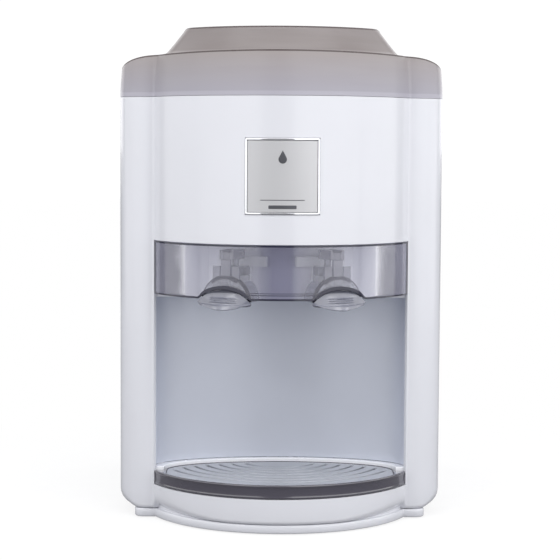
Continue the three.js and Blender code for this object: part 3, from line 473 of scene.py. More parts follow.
def lid_streaks_and_painted_light(tree, coords, base):
    """Smoked plastic with streaks and a pale lip; painted light makes it cooler and paler towards its
    foot, and painted shade darkens the raised middle.
    """
    height = node(tree, "SeparateXYZ", {"Vector": coords}).outputs["Z"]

    def faded(start, end, z, fade):
        return spanned(tree, height, start, end, (z + fade[0]) * MM, (z + fade[1]) * MM)

    wisps = noise(tree, stretched(tree, coords, STREAKS["stretch"]), STREAKS["scale"])
    # painted light towards the foot, then painted shade over the raised middle
    tone = mixed(tree, faded(1, 0, SEAM_Z, FOOT_PAINTED_LIGHT_FADE), base, LID_COLOURS_AND_PAINTED_LIGHT["foot"])
    tone = mixed(tree, faded(0, 1, TOP_Z, TOP_PAINTED_SHADE_FADE), tone, LID_COLOURS_AND_PAINTED_LIGHT["top"])
    tone = mixed(tree, spanned(tree, wisps, 0, STREAKS["share"]), tone, LID_COLOURS_AND_PAINTED_LIGHT["streak"])
    return mixed(tree, faded(0.5, 0, SEAM_Z, LIP_FADE), tone, LID_COLOURS_AND_PAINTED_LIGHT["lip"])


COAT = {"Coat Weight": 0.3, "Coat Roughness": 0.05}

MATERIALS = {
    "white_shell": plastic((222, 223, 229), 0.22, 0.012, 700.0, 0.03,
                           spread_of_roughness=0.015, **COAT),
    # the casing's white made lighter: painted light on the ledge, which lies in shade inside the niche
    "ledge": plastic((246, 247, 252), 0.25, 0.012, 700.0, 0.03, **COAT),
    "liner": plastic((208, 212, 223), 0.34, 0.015, 1800.0, 0.05, Metallic=0.3),
    # the liner made lighter: painted light on the tap panel in the shade behind the visor, with painted
    # shade in its middle
    "panel": plastic((236, 237, 244), 0.4, 0.015, 1800.0, 0.05, colour_of=panel_painted_shade),
    "lid": plastic((156, 149, 148), 0.3, 0.012, 600.0, 0.03, colour_of=lid_streaks_and_painted_light,
                   spread_of_roughness=0.01,
                   **{"Specular IOR Level": 0.25, "Coat Weight": 0.12, "Coat Roughness": 0.1}),
    "lid_edge": plastic((84, 74, 74), 0.3, 0.05, 600.0, 0.03),
    "visor": glassy((254, 254, 255), (204, 204, 226), 0.12, 0.08, 0.95, shine=0.28),
    "visor_rim": glassy((150, 150, 170), (44, 44, 62), 0.1, 0.94, 0.98, shine=0.2),
    "tray": plastic((62, 59, 71), 0.14, 0.06, 500.0, 0.03,
                    **{"Coat Weight": 1.0, "Coat Roughness": 0.12, "Coat IOR": 1.7}),
    "clear": glassy((236, 238, 242), (186, 188, 196), 0.06, 0.3, 0.85),
    # dark for the hood's edge, and painted shadow in the band over its top
    "lever_edge": plastic((26, 26, 40), 0.5, 0.05, 700.0, 0.03, **{"Specular IOR Level": 0.1}),
    "lever_frame": glassy((214, 216, 222), (166, 166, 176), 0.12, 0.55, 0.95),
    "lip": glassy((206, 208, 218), (134, 136, 150), 0.08, 0.66, 0.95),
    "grille": plastic((176, 179, 187), 0.34, 0.03, 900.0, 0.05, Metallic=0.3),
    "badge": plastic((206, 206, 208), 0.5, 0.01, 2600.0, 0.1, stretch=(0.03, 1, 1),
                     spread_of_roughness=0.01, Metallic=0.8),
    "chrome": plastic((232, 233, 236), 0.08, 0.01, 600.0, 0.02, spread_of_roughness=0.02, Metallic=1.0),
    "steel": plastic((186, 188, 192), 0.3, 0.05, 1500.0, 0.08, stretch=(1, 1, 0.05), Metallic=1.0),
    "aluminium": plastic((196, 198, 202), 0.42, 0.04, 1200.0, 0.1, stretch=(1, 0.1, 1), Metallic=1.0),
    "black_plastic": plastic((34, 35, 37), 0.42, 0.12, 1600.0, 0.2),
    "rubber": plastic((44, 44, 46), 0.75, 0.12, 1100.0, 0.3),
    "silicone": plastic((226, 224, 216), 0.5, 0.04, 700.0, 0.1,
                        **{"Subsurface Weight": 0.1, "Subsurface Scale": 0.002}),
    "foam": plastic((236, 236, 231), 0.85, 0.05, 420.0, 0.8),
    "filter": plastic((214, 221, 234), 0.3, 0.04, 700.0, 0.05),
    "board": plastic((40, 96, 66), 0.45, 0.15, 900.0, 0.25),
    "ceramic": plastic((240, 240, 237), 0.55, 0.03, 1600.0, 0.1),
    "hose": plastic((214, 222, 226), 0.3, 0.04, 500.0, 0.05),
    "print": plastic((96, 97, 102), 0.35, 0.06, 1500.0, 0.1, Metallic=0.6),
}
for finish, material in MATERIALS.items():
    material.name = finish

# ---- casing

ROLL = {"front": 3.6, "side": EDGE_R}
ROLL_STEPS = [0, 15, 30, 45, 60, 75, 90]
CASE_FOOT_Z = 24  # above the rolled-in lower edge
CASE_STEP = 14  # the tallest or widest cell of its grid


def casing_column(point, normal, heights):
    """One upright line of the casing: its rolled-in lower edge, then straight up."""
    round_corner = abs(normal.x) * 1.6 - 0.6
    reach = ROLL["front"] + (ROLL["side"] - ROLL["front"]) * smooth(round_corner)
    line = []
    for a in ROLL_STEPS:
        inset = reach * (1 - math.sin(math.radians(a)))
        z = BASE_Z + reach * (1 - math.cos(math.radians(a)))
        line.append((*(point - inset * normal), z))
    line += [(*point, z) for z in heights]
    return line


def transposed(columns):
    """Rows of points from upright columns of them."""
    return [list(row) for row in zip(*columns)]


def front_columns():
    """The front shell in plan, from left to right, as (point, outward normal)."""
    ys = spread([COLUMN_Y + CORNER_R, SPLIT_Y], 9)[1:]
    half = case_front() + [(Vector((HALF, y)), Vector((1, 0))) for y in ys]
    left = [(Vector((-p.x, p.y)), Vector((-n.x, n.y))) for p, n in reversed(half[1:])]
    return left + half


def front_housing():
    badge_low, badge_high = BADGE_LOW.z - GAP, BADGE_HIGH.z + GAP
    stops = [CASE_FOOT_Z, WINDOW_Z, WINDOW_TOP, badge_low, badge_high, SEAM_Z - GAP / 2]
    heights = spread(stops, CASE_STEP)
    columns = front_columns()
    zs = [0.0] * len(ROLL_STEPS) + heights
    openings = [(WINDOW, WINDOW_Z, WINDOW_TOP), (BADGE_X, badge_low, badge_high)]

    def skip(i, j):
        out = max(abs(columns[i][0].x), abs(columns[i + 1][0].x))
        return any(
            out < half + CLOSE and zs[j] > low - CLOSE and zs[j + 1] < high + CLOSE
            for half, low, high in openings
        )

    bm = bmesh.new()
    add_grid(bm, transposed([casing_column(p, n, heights) for p, n in columns]), skip=skip)
    piece("front_shell", bm, "cabinet", "white_shell", WALL, 0.7,
          ["front_housing"], recalc=False)


def side_panel(name, side):
    heights = spread([CASE_FOOT_Z, SEAM_Z - GAP / 2], CASE_STEP)
    ys = spread([SPLIT_Y + GAP, REAR_LOW.y - GAP], CASE_STEP)
    columns = [casing_column(Vector((side * HALF, y)), Vector((side, 0)), heights) for y in ys]
    if side < 0:
        columns.reverse()
    bm = bmesh.new()
    add_grid(bm, transposed(columns))
    piece(f"{name}_side", bm, "cabinet", "white_shell", WALL, 0.5,
          [f"{name}_side_panel"], recalc=False)


def circle(x, y, r, step=10):
    return arc(x, y, r, 0, 360, step)[:-1]


def rounded_slot(x0, x1, y, half):
    """A straight slot with round ends."""
    return arc(x1 - half, y, half, -90, 90, 15) + arc(x0 + half, y, half, 90, 270, 15)


def rectangle(x0, x1, y0, y1, r=0.6):
    corners = [(x1 - r, y0 + r, -90), (x1 - r, y1 - r, 0), (x0 + r, y1 - r, 90), (x0 + r, y0 + r, 180)]
    return [p for x, y, a in corners for p in arc(x, y, r, a, a + 90, 30)]


VENT = {"pitch": 8.0, "slot": 4.0, "reach": 41.0, "each_way": 4}
REAR_CORNER = 2
ROUND_HOLES = {"inlet_fitting": 6.3, "drain_fitting": 6.3, "cord_gland": 5.8}
SWITCH_FLANGE = Vector((1, 1, 1)) * (2 - GAP)  # how much smaller its hole is, all round


def vent_slots():
    """Slots in front of the fan that fill a circle."""
    fan = centre_of("fan_frame")
    slots = []
    for k in range(-VENT["each_way"], VENT["each_way"] + 1):
        up = k * VENT["pitch"]
        reach = math.sqrt(VENT["reach"] ** 2 - up**2)
        slots.append(rounded_slot(fan.x - reach, fan.x + reach, fan.z + up, VENT["slot"] / 2))
    return slots


def rear_panel():
    corner = (HALF - REAR_CORNER, SEAM_Z - GAP / 2 - REAR_CORNER)
    half = arc(HALF - EDGE_R, BASE_Z + EDGE_R, EDGE_R, -90, 0, 6) + arc(*corner, REAR_CORNER, 0, 90, 30)
    holes = vent_slots()
    for name, r in ROUND_HOLES.items():
        middle = centre_of(name)
        holes.append(circle(middle.x, middle.z, r))
    low, high = node_box("switch_housing")
    low, high = low + SWITCH_FLANGE, high - SWITCH_FLANGE
    holes.append(rectangle(low.x, high.x, low.z, high.z))
    bm = plate_mesh("rear_panel", mirrored(half), holes, WALL, 0.5)
    moved(bm, lambda p: (p.x, BACK - WALL / 2 - p.z, p.y))
    piece("rear_cover", bm, "cabinet", "white_shell", replaces=["rear_panel"])


PLINTH_RADIUS = BULGE_Y - PLINTH_LOW.y
PLINTH_CORNER = 8
PLINTH_RIM = 3.6


def plinth_half(inset):
    """Right half of the plinth's outline, an even distance in."""
    half = PLINTH_HIGH.x - inset
    front = COLUMN_Y + BULGE_R - PLINTH_RADIUS + inset
    r = PLINTH_RADIUS - inset
    turn = math.degrees(math.acos((BULGE_Y - front) / r))
    corner = PLINTH_CORNER - inset
    return (
        arc(0, BULGE_Y, r, -90, -90 + turn, 2.5)
        + arc(half - corner, front + corner, corner, -90, 0, 15)
        + [Vector((half, y)) for y in spread([front + corner + 1, PLINTH_HIGH.y - inset], 20)]
    )


def plinth():
    """A ring of wall that steps in under the casing. Its levels are (inset, height)."""
    low, top = PLINTH_LOW.z, PLINTH_HIGH.z
    step, rim = BASE_Z - GAP, PLINTH_RIM
    levels = [(rim + WALL, top), (rim + WALL, low + 1), (rim + WALL - 0.4, low + 0.3), (rim + 2, low)]
    levels += [(1, low), (0.4, low + 0.3), (0, low + 1), (0, step - 1), (0.3, step - 0.3), (1, step)]
    levels += [(rim - 0.4, step), (rim, step + 0.4), (rim, top)]
    rings = [[(p.x, p.y, z) for p in mirrored(plinth_half(inset))] for inset, z in levels]
    bm = bmesh.new()
    add_skin(bm, rings + rings[:1], cap_first=False, cap_last=False)
    bmesh.ops.remove_doubles(bm, verts=bm.verts, dist=1e-7)
    piece("plinth", bm, "cabinet", "white_shell", bevel=0.2, replaces=["base_plate"])


FEET = ("foot_front_left", "foot_front_right", "foot_rear_left", "foot_rear_right")


def feet():
    for name in FEET:
        low, high = node_box(name)
        r = (high.x - low.x) / 2
        profile = [(0, 1), (2, 0.6), (4, 1), (5, 0), (r - 2.2, 0), (r - 1, 0.4), (r - 0.3, 1.4), (r, 2.6)]
        profile += [(r, high.z - 2), (r - 0.5, high.z - 1.6), (r - 0.5, high.z), (0, high.z)]
        bm = bmesh.new()
        add_turned(bm, profile, (low.x + high.x) / 2, (low.y + high.y) / 2)
        piece(f"{name}_pad", bm, "cabinet", "rubber", replaces=[name])


# ---- lid

LID_WALL = 2.5
LID_BACK = LID_HIGH.y
CREST_Z = TOP_Z - 22.2
SHOULDER = {"x": 108.0, "width": 36.0, "drop": 14.0, "crown": 2.0}
LEAN = [(SEAM_Z, 0.0), (SEAM_Z + 12, 0.4), (SEAM_Z + 26, 1.6), (CREST_Z + 1, 3.6)]
SKIRT_STOPS = (0, 0.012, 0.05, 0.1, 0.25, 0.4, 0.55, 0.7, 0.82, 0.92, 0.965, 1)  # shares of its height
CREST_ROWS = 12
PLATEAU = {"y": BULGE_Y + 22, "r": 120.0, "back": 150.0, "edge": 6.0, "rear": 14.0, "bend": (5, 16)}
BEND_STEPS = 8
PLATEAU_FOOT = (108.0, -4.0)  # half its width there, and how far its front is set back
PLATEAU_RISE = [  # half its width, its setback, and the share of its rise
    (106.3, -2.9, 0.012), (104.4, -1.7, 0.045), (102.6, -0.8, 0.1), (100.8, 0.0, 0.17),
    (96.5, 2.0, 0.37), (91.9, 4.0, 0.6), (88.0, 5.6, 0.8), (86.8, 6.1, 0.87),
    (86.0, 6.6, 0.92), (85.1, 7.3, 0.957), (84.0, 8.3, 0.978), (82.4, 9.8, 0.988),
]
TOP_SHARES = (0.2, 0.45, 0.7, 0.9)  # how far in to the middle the rings of the top lie


def lean_at(z):
    for (z0, a), (z1, b) in zip(LEAN, LEAN[1:]):
        if z <= z1:
            return a + (b - a) * max(0.0, z - z0) / (z1 - z0)
    return LEAN[-1][1]


def crest_at(x):
    """Height of the lid's upper surface, which only depends on how far out it is."""
    x = min(abs(x), SHOULDER["x"] + SHOULDER["width"])
    if x < SHOULDER["x"]:
        return CREST_Z - SHOULDER["crown"] * (x / SHOULDER["x"]) ** 2
    out = (x - SHOULDER["x"]) / SHOULDER["width"]
    return CREST_Z - SHOULDER["crown"] - SHOULDER["drop"] * (1 - math.sqrt(max(0.0, 1 - out * out)))


def plateau_half(half, setback, counts):
    """Right half of the raised middle in plan, with counts points on its front, bend, side and back."""
    start, stop = PLATEAU["bend"]
    r = PLATEAU["r"] - setback
    end = half - PLATEAU["edge"]
    turn = turn_of(end, r)
    y = PLATEAU["y"] - math.sqrt(r * r - end * end)
    back = PLATEAU["back"] - setback
    corner = Vector((half - PLATEAU["rear"], back - PLATEAU["rear"]))
    front = arc(0, PLATEAU["y"], r, -90, -90 + turn, 3)
    bend = []
    for k in range(BEND_STEPS + 1):
        t = k / BEND_STEPS
        a = Vector((end, y)).lerp(Vector((half, y + start)), t)
        bend.append(a.lerp(Vector((half, y + start)).lerp(Vector((half, y + stop)), t), t))
    side = [bend[-1], Vector((half, corner.y))]
    rear = arc(corner.x, corner.y, PLATEAU["rear"], 0, 90, 10) + [Vector((0, back))]
    made = resampled(front, counts[0])
    for line, count in zip((bend, side, rear), counts[1:]):
        made += resampled(line, count + 1)[1:]
    return made


def lid_columns():
    """Right half of the skirt's outline as (point, normal), and how many points its parts have."""
    front = case_front()
    bulge_count = len(spread([0, BADGE_TURN, BULGE_TURN], BULGE_STEP))
    side = [(Vector((HALF, y)), Vector((1, 0))) for y in spread([COLUMN_Y + CORNER_R, LID_BACK], 12)[1:]]
    side[-1] = (side[-1][0], Vector((1, 1)))
    rear = [(Vector((x, LID_BACK)), Vector((0, 1))) for x in spread([HALF, 0], 9)[1:]]
    counts = (bulge_count, len(front) - bulge_count, len(side), len(rear))
    return front + side + rear, counts


def lid_column(point, normal, foot):
    """One line of the lid, from the seam up the skirt, over the crest and in to the plateau's foot."""
    top = CREST_Z
    for _ in range(12):  # the crest's height and how far the skirt leans in settle together
        top = crest_at((point - lean_at(top) * normal).x)
    line = []
    for t in SKIRT_STOPS:
        z = SEAM_Z + GAP / 2 + (top - SEAM_Z - GAP / 2) * t
        line.append((*(point - lean_at(z) * normal), z))
    edge = point - lean_at(top) * normal
    for k in range(1, CREST_ROWS + 1):
        p = edge.lerp(foot, (k / CREST_ROWS) ** 1.5)
        line.append((*p, crest_at(p.x)))
    return line


def lid():
    columns, counts = lid_columns()
    foot = plateau_half(*PLATEAU_FOOT, counts)
    halves = transposed([lid_column(p, n, f) for (p, n), f in zip(columns, foot)])
    for half, setback, rise in PLATEAU_RISE:
        ring = plateau_half(half, setback, counts)
        halves.append([(p.x, p.y, crest_at(p.x) + (TOP_Z - crest_at(p.x)) * rise) for p in ring])
    rings = [mirrored_ring(half) for half in halves]
    centre = Vector((0, (PLATEAU["back"] + PLATEAU["y"] - PLATEAU["r"]) / 2, TOP_Z))
    for share in TOP_SHARES:
        rings.append([tuple(Vector(p).lerp(centre, share)) for p in rings[-1]])
    crest = len(SKIRT_STOPS) - 2
    top_edge = len(halves) - 4
    dark = (crest, top_edge, top_edge + 1)
    bm = bmesh.new()
    add_skin(bm, rings, cap_first=False, second=lambda i, j: j in dark)
    piece("lid_cover", bm, "lid", "lid lid_edge", LID_WALL, 0.5, ["lid"], even=False)


def mirrored_ring(half):
    """A closed ring from its right half, which runs from the front middle to the back middle."""
    left = [(-x, y, z) for x, y, z in reversed(half[1:-1])]
    return list(half) + left


# ---- badge


def on_bulge(x, z, out=0.0):
    """The point of the bulge's face that is x to the right, along the curve, at height z."""
    p = round_bulge(BULGE_R + out, math.degrees(x / BULGE_R))
    return (p.x, p.y, z)


BADGE_RIM = 1.8
MARKS_PROUD = 0.16
DROP = {"up": 14.5, "r": 3.6, "tip": 7.6}
RULES = [(19, -20.4, -19.8, 0.2), (12, -27.5, -24.5, 0.8)]  # half length, lower and upper edge, corner


def wrapped(bm, out):
    """Bends a flat plate in x and y round the bulge: its x runs round, its y up, and its z outwards."""
    return moved(bm, lambda p: on_bulge(p.x, p.y, out + p.z))


def subdivided(bm, plane_step, low, high):
    """Cuts a flat plate into upright strips, so that it can bend."""
    for x in spread([low, high], plane_step)[1:-1]:
        geom = list(bm.verts) + list(bm.edges) + list(bm.faces)
        bmesh.ops.bisect_plane(bm, geom=geom, plane_co=(x * MM, 0, 0), plane_no=(1, 0, 0))
    return bm


def drop_outline(x, z, r, tip):
    """A water drop, point up, whose round part has radius r."""
    lean = math.degrees(math.acos(r / tip))
    return arc(x, z, r, 90 + lean, 450 - lean, 12) + [Vector((x, z + tip))]


def badge_marks(middle):
    """A water drop over two plain rules."""
    bm = bmesh.new()
    outlines = [drop_outline(0, middle + DROP["up"], DROP["r"], DROP["tip"])]
    for half, low, high, r in RULES:
        outlines.append(rectangle(-half, half, middle + low, middle + high, r))
    for outline in outlines:
        add_skin(bm, [[(p.x, p.y, z) for p in outline] for z in (0, MARKS_PROUD)])
    bmesh.ops.triangulate(bm, faces=[f for f in bm.faces if len(f.verts) > 4])
    return subdivided(bm, 2, -20, 20)


def badge():
    half = math.asin(BADGE_HIGH.x / BULGE_R) * BULGE_R
    low, high = BADGE_LOW.z, BADGE_HIGH.z
    outer = rectangle(-half, half, low, high, 1.2)
    inner = rectangle(-half + BADGE_RIM, half - BADGE_RIM, low + BADGE_RIM, high - BADGE_RIM, 0.6)
    rim = subdivided(plate_mesh("rim", outer, [inner], 2.2, 0.5), 3, -half, half)
    piece("badge_rim", wrapped(rim, -0.3), "cabinet", "chrome", replaces=["badge_frame"])
    inset = BADGE_RIM + GAP
    face = rectangle(-half + inset, half - inset, low + inset, high - inset, 0.5)
    plate = subdivided(plate_mesh("plate", face, [], 1.6, 0.2), 3, -half, half)
    piece("badge_face", wrapped(plate, -0.5), "cabinet", "badge", replaces=["badge_plate"])
    marks = wrapped(badge_marks((low + high) / 2), 0.3)
    piece("badge_emblem", marks, "cabinet", "print")


# ---- niche and tray

TAP_PANEL_R = 81.5
CEILING_SETBACK = 2.6
CEILING_WALL = 2


def niche():
    wall = arc(0, NICHE_Y, WINDOW, 0, 180, 2, NICHE_DEPTH)
    zs = spread([LEDGE_Z + GAP, LINER_HIGH.z], 12)
    bm = bmesh.new()
    add_grid(bm, [[(p.x, p.y, z) for p in wall] for z in zs])
    piece("niche_wall", bm, "cabinet", "liner", shell=-LINER_WALL, bevel=0.4,
          replaces=["niche_liner"], recalc=False)
    r = TAP_PANEL_R - WALL - GAP
    reach = math.degrees(math.acos((BULGE_Y - NICHE_Y - CEILING_SETBACK) / r))
    front = arc(0, BULGE_Y, r, -90 - reach, -90 + reach, 3)
    back = arc(0, NICHE_Y + CEILING_SETBACK, WINDOW - 0.4, 0, 180, 3, NICHE_DEPTH - 3)
    bm = plate_mesh("ceiling", front + back, [], CEILING_WALL, 0.2)
    moved(bm, lambda p: (p.x, p.y, p.z + LINER_HIGH.z - CEILING_WALL / 2))
    piece("niche_ceiling", bm, "cabinet", "liner")


TRAY_HALF = TRAY_HIGH.x
TRAY_BACK_HALF = 103.7
TRAY_BACK_DEPTH = TRAY_HIGH.y - NICHE_Y
TRAY_WALL = 2.0
TRAY_PLAY = 0.6  # between the tray and the ledge behind it
LEDGE_REACH = 2  # how far the ledge goes under the niche's wall
SHOULDER_STEPS = 4
TRAY_FRONT_POINTS = 36
TRAY_BACK_POINTS = 40
SLOT = {"first": 107.0, "pitch": 12.0, "half": 1.6, "count": 7, "rim": 6.0, "most": 120, "step": 0.25}
GRILLE_PLAY = 0.4


def niche_floor():
    def section(a):
        d = direction(a)
        inner = Vector((d.x * (TRAY_BACK_HALF + TRAY_PLAY), NICHE_Y + d.y * (TRAY_BACK_DEPTH + TRAY_PLAY)))
        outer = Vector((d.x * (WINDOW + LEDGE_REACH), NICHE_Y + d.y * (NICHE_DEPTH + LEDGE_REACH)))
        low = WINDOW_Z - 0.2
        return [(*inner, low), (*outer, low), (*outer, LEDGE_Z), (*inner, LEDGE_Z)]

    bm = bmesh.new()
    add_skin(bm, [section(a) for a in spread([0, 180], 2)])
    piece("niche_ledge", bm, "cabinet", "ledge", bevel=0.9,
          replaces=["niche_floor"])
    half = WINDOW - 0.5
    r = BULGE_R - WALL - GAP
    turn = turn_of(half, r)
    outline = arc(0, BULGE_Y, r, -90 - turn, -90 + turn, 3)
    outline += arc(0, NICHE_Y, half, 0, 180, 3, NICHE_DEPTH + 2)
    bm = plate_mesh("well", outline, [], WALL, 0.3)
    moved(bm, lambda p: (p.x, p.y, p.z + WINDOW_Z - WALL / 2))
    piece("tray_well", bm, "cabinet", "white_shell")


def tray_front(half, inset):
    r = BULGE_R - inset
    turn = turn_of(half, r)
    return resampled(arc(0, BULGE_Y, r, -90, -90 + turn, 2), TRAY_FRONT_POINTS)


def tray_back(inset):
    half, depth = TRAY_BACK_HALF - inset, TRAY_BACK_DEPTH - inset
    return resampled(arc(0, NICHE_Y, half, 0, 90, 2, depth), TRAY_BACK_POINTS)


def tray_inside(inset):
    """Right half of the tray's inside in plan, an even distance in from its front and back."""
    front = tray_front(TRAY_BACK_HALF - inset, inset)
    back = tray_back(inset)
    between = resampled([front[-1], back[0]], SHOULDER_STEPS + 2)[1:-1]
    return front + between + back


def tray_outside(inset):
    """Right half of its outside, whose shoulders fill the window's width."""
    half = TRAY_HALF - inset
    front = tray_front(half, inset)
    back = tray_back(inset)
    step = NICHE_Y - GAP - inset
    bend = [(half, front[-1].y + 1), (half, step - 0.4), (half - 0.4, step), (back[0].x, step)]
    return front + [Vector(p) for p in bend] + back


def drip_tray():
    """The tray's section, as (inset, height), from its floor over its rim and down to its foot."""
    low, top = TRAY_LOW.z, TRAY_HIGH.z
    seat = GRILLE_LOW.z - GAP
    base, wall = low + TRAY_WALL, TRAY_WALL
    inner = [(7, base), (5, base + 0.5), (4, base + 2), (4, seat - 0.3), (3.7, seat)]
    inner += [(wall, seat), (wall, top - 0.5), (wall - 0.4, top)]
    outer = [(0.9, top), (0.2, top - 0.4), (0, top - 1.1), (0, top - 2), (0.7, top - 2.5)]
    outer += [(0.7, low + 2.6), (0.1, low + 2), (0, low + 1.2), (0.4, low + 0.3), (1.2, low)]
    rings = [(tray_inside(inset), z) for inset, z in inner]
    rings += [(tray_outside(inset), z) for inset, z in outer]
    bm = bmesh.new()
    add_skin(bm, [mirrored_ring([(p.x, p.y, z) for p in half]) for half, z in rings])
    piece("tray_basin", bm, "drip_tray", "tray", replaces=["drip_tray"])


def slot_reach(r):
    """How far round a slot of radius r goes before it meets the grille's plain rim, in degrees."""
    half = TRAY_BACK_HALF - TRAY_WALL - SLOT["rim"]
    depth = TRAY_BACK_DEPTH - TRAY_WALL - SLOT["rim"]
    turn = 0.0
    while turn < SLOT["most"]:
        p = round_bulge(r, turn)
        behind = max(0.0, p.y - NICHE_Y) / depth
        if (p.x / half) ** 2 + behind**2 > 1:
            return turn
        turn += SLOT["step"]
    return turn


def curved_slot(r, half, reach):
    start, end = -90 - reach, -90 + reach
    tip, tail = round_bulge(r, reach), round_bulge(r, -reach)
    return (
        arc(0, BULGE_Y, r + half, start, end, 2.5)
        + arc(tip.x, tip.y, half, end, end + 180, 30)[1:-1]
        + arc(0, BULGE_Y, r - half, end, start, 2.5)
        + arc(tail.x, tail.y, half, start + 180, start + 360, 30)[1:-1]
    )


def drip_grille():
    half = [(p.x, p.y, 0) for p in tray_inside(TRAY_WALL + GRILLE_PLAY)]
    outline = [Vector(p[:2]) for p in mirrored_ring(half)]
    slots = []
    for k in range(SLOT["count"]):
        r = SLOT["first"] - k * SLOT["pitch"]
        slots.append(curved_slot(r, SLOT["half"], slot_reach(r) - math.degrees(SLOT["half"] / r)))
    thickness = GRILLE_HIGH.z - GRILLE_LOW.z
    bm = plate_mesh("grille", outline, slots, thickness, 0.7)
    moved(bm, lambda p: (p.x, p.y, p.z + GRILLE_LOW.z + thickness / 2))
    piece("grille_plate", bm, "drip_grille", "grille", replaces=["drip_grille"])


# ---- visor and taps

ARCH = {"half": 24.8, "rise": 8.8}
ARCH_R = (ARCH["half"] ** 2 + ARCH["rise"] ** 2) / (2 * ARCH["rise"])
VISOR_WALL = 2.5
VISOR_RIM = 1.5
ARCH_RIM = 3.0
RIM_FADE = 6  # length over which the rim widens into an arch
INNER_LINES = [(4.2, 4.6), (5.9, 6.2)]  # two fine dark lines above the lower edge, between the taps
INNER_ROWS = (3, 5)


def visor_edge(turn):
    """Height of the visor's lower edge at an angle round the bulge, and how wide its rim is there."""
    x = BULGE_R * math.sin(math.radians(abs(turn) - TAP_TURN))
    if abs(x) >= ARCH["half"]:
        return VISOR_LOW.z, VISOR_RIM
    rise = ARCH["rise"] - ARCH_R + math.sqrt(ARCH_R**2 - x * x)
    share = smooth((ARCH["half"] - abs(x)) / RIM_FADE)
    return VISOR_LOW.z + max(0, rise), VISOR_RIM + (ARCH_RIM - VISOR_RIM) * share


def visor():
    end = turn_of(VISOR_HIGH.x, BULGE_R)
    rim_turn = math.degrees(VISOR_RIM / BULGE_R) / math.cos(math.radians(end))
    arch = turn_of(ARCH["half"], BULGE_R)
    half = [TAP_TURN - arch, TAP_TURN, TAP_TURN + arch, end - rim_turn, end]
    turns = spread([-a for a in reversed(half)] + half, 1.0)
    top = VISOR_HIGH.z
    lines = [h for line in INNER_LINES for h in line]
    columns = []
    for turn in turns:
        low, rim = visor_edge(turn)
        x, y = round_bulge(BULGE_R, turn)
        heights = [low, low + rim / 2, low + rim] + [low + max(h, rim + 0.2 + h / 9) for h in lines]
        heights += [(low + top) / 2, top - VISOR_RIM, top - VISOR_RIM / 2, top]
        columns.append([(x, y, z) for z in heights])
    last = len(columns[0]) - 2

    def in_rim(i, j):
        outermost = turns[i + 1] < rim_turn - end + CLOSE or turns[i] > end - rim_turn - CLOSE
        between = max(abs(turns[i]), abs(turns[i + 1])) < TAP_TURN - arch + CLOSE
        return outermost or j < 2 or j >= last - 1 or (between and j in INNER_ROWS)

    bm = bmesh.new()
    add_grid(bm, transposed(columns), second=in_rim)
    made = piece("visor_panel", bm, "cabinet", "visor visor_rim", VISOR_WALL, 0.35, ["visor"],
                 recalc=False)
    made.modifiers["wall"].material_offset_rim = 1


PIVOT_Z = centre_of("lever_pin_left").z
LEVER_FACE = -119.0
REAR_OF_ARM = -115.6
HOOD_R = 23.0
HOOD_Z = VISOR_LOW.z - 2
SHOULDER_Z = 231.0
LENS = {"half": ARCH["half"] + 0.8, "rise": 11.3, "sag": 5.2, "flare": 8.5, "z": VISOR_LOW.z - 3}
LENS_LIP = 1.2  # how far its lower lip's upper edge sags
LIP_PROUD = 0.9
LENS_RIDGES = (1.9, 3.6, 5.3)  # heights above the lip
RIDGE = {"proud": 0.6, "width": 0.4, "half": 14.5, "fade": 4}
LENS_COLUMNS = 48
LENS_ROWS = 44
HOOD_LEVELS = [  # radius and depth, from the back to the middle of its face
    (23, -98), (23, -104), (23, -110), (23, -115.6), (23, -117.4), (22.6, -118.6),
    (21.8, -119.4), (21.2, -119.6), (19.4, -119.9), (15, -120.1), (8, -120.2), (0.5, -120.2),
]
HOOD_RING = (3, 4, 5, 6)  # the dark cells along its outer edge
HOOD_SHADE_RING = 7  # one more, over the top: painted shadow of the gap behind it
HOOD_TOP = (52, 128)
RELIEF_X = 15.5
ARM_HALF = 4.5
FORK_LOW = PIVOT_Z - 4.5
FORK_HIGH = PIVOT_Z + 1.8
WEB = {"half": 2.9, "back": -TAP_R - 5.5}
CHEEK = {"inner": 2.8, "outer": 6.7, "back": -TAP_R + 5}
CHEEK_TOP = {"inner": 3.9, "low": PIVOT_Z + 1.5, "high": PIVOT_Z + 4}
SHOULDERS = {"inner": 5.6, "outer": 12.7}


def bow(x, half, height):
    """Height of an arc over a chord from -half to half."""
    r = (half * half + height * height) / (2 * height)
    return height - r + math.sqrt(r * r - x * x)


def lens_relief(x, above_lip, below_lip):
    """How proud the lip and the grip ridges stand at x, a distance above or below the lip's edge."""
    fade = smooth((RIDGE["half"] - abs(x)) / RIDGE["fade"])
    ridges = sum(math.exp(-(((above_lip - h) / RIDGE["width"]) ** 2)) for h in LENS_RIDGES)
    return RIDGE["proud"] * ridges * fade + LIP_PROUD * smooth(below_lip / LIP_PROUD)


def add_lens(bm):
    """The lens-shaped lip under the arch: flared outwards at the bottom, with grip ridges above it."""
    half, rise, sag = LENS["half"], LENS["rise"], LENS["sag"]
    rows = []
    for j in range(LENS_ROWS + 1):
        row = []
        for i in range(LENS_COLUMNS + 1):
            u = -math.cos(math.pi * i / LENS_COLUMNS)
            x = u * half
            top, bottom = bow(x, half, rise), -bow(x, half, sag)
            h = bottom + (top - bottom) * j / LENS_ROWS
            v = (h + sag) / (sag + rise)
            edge = -bow(x, half, LENS_LIP)
            proud = LENS["flare"] * (1 - v) * (1 - u * u) + lens_relief(x, h - edge, edge - h)
            row.append((x, LEVER_FACE - 2 - proud, LENS["z"] + h))
        rows.append(row)
    add_grid(bm, rows)


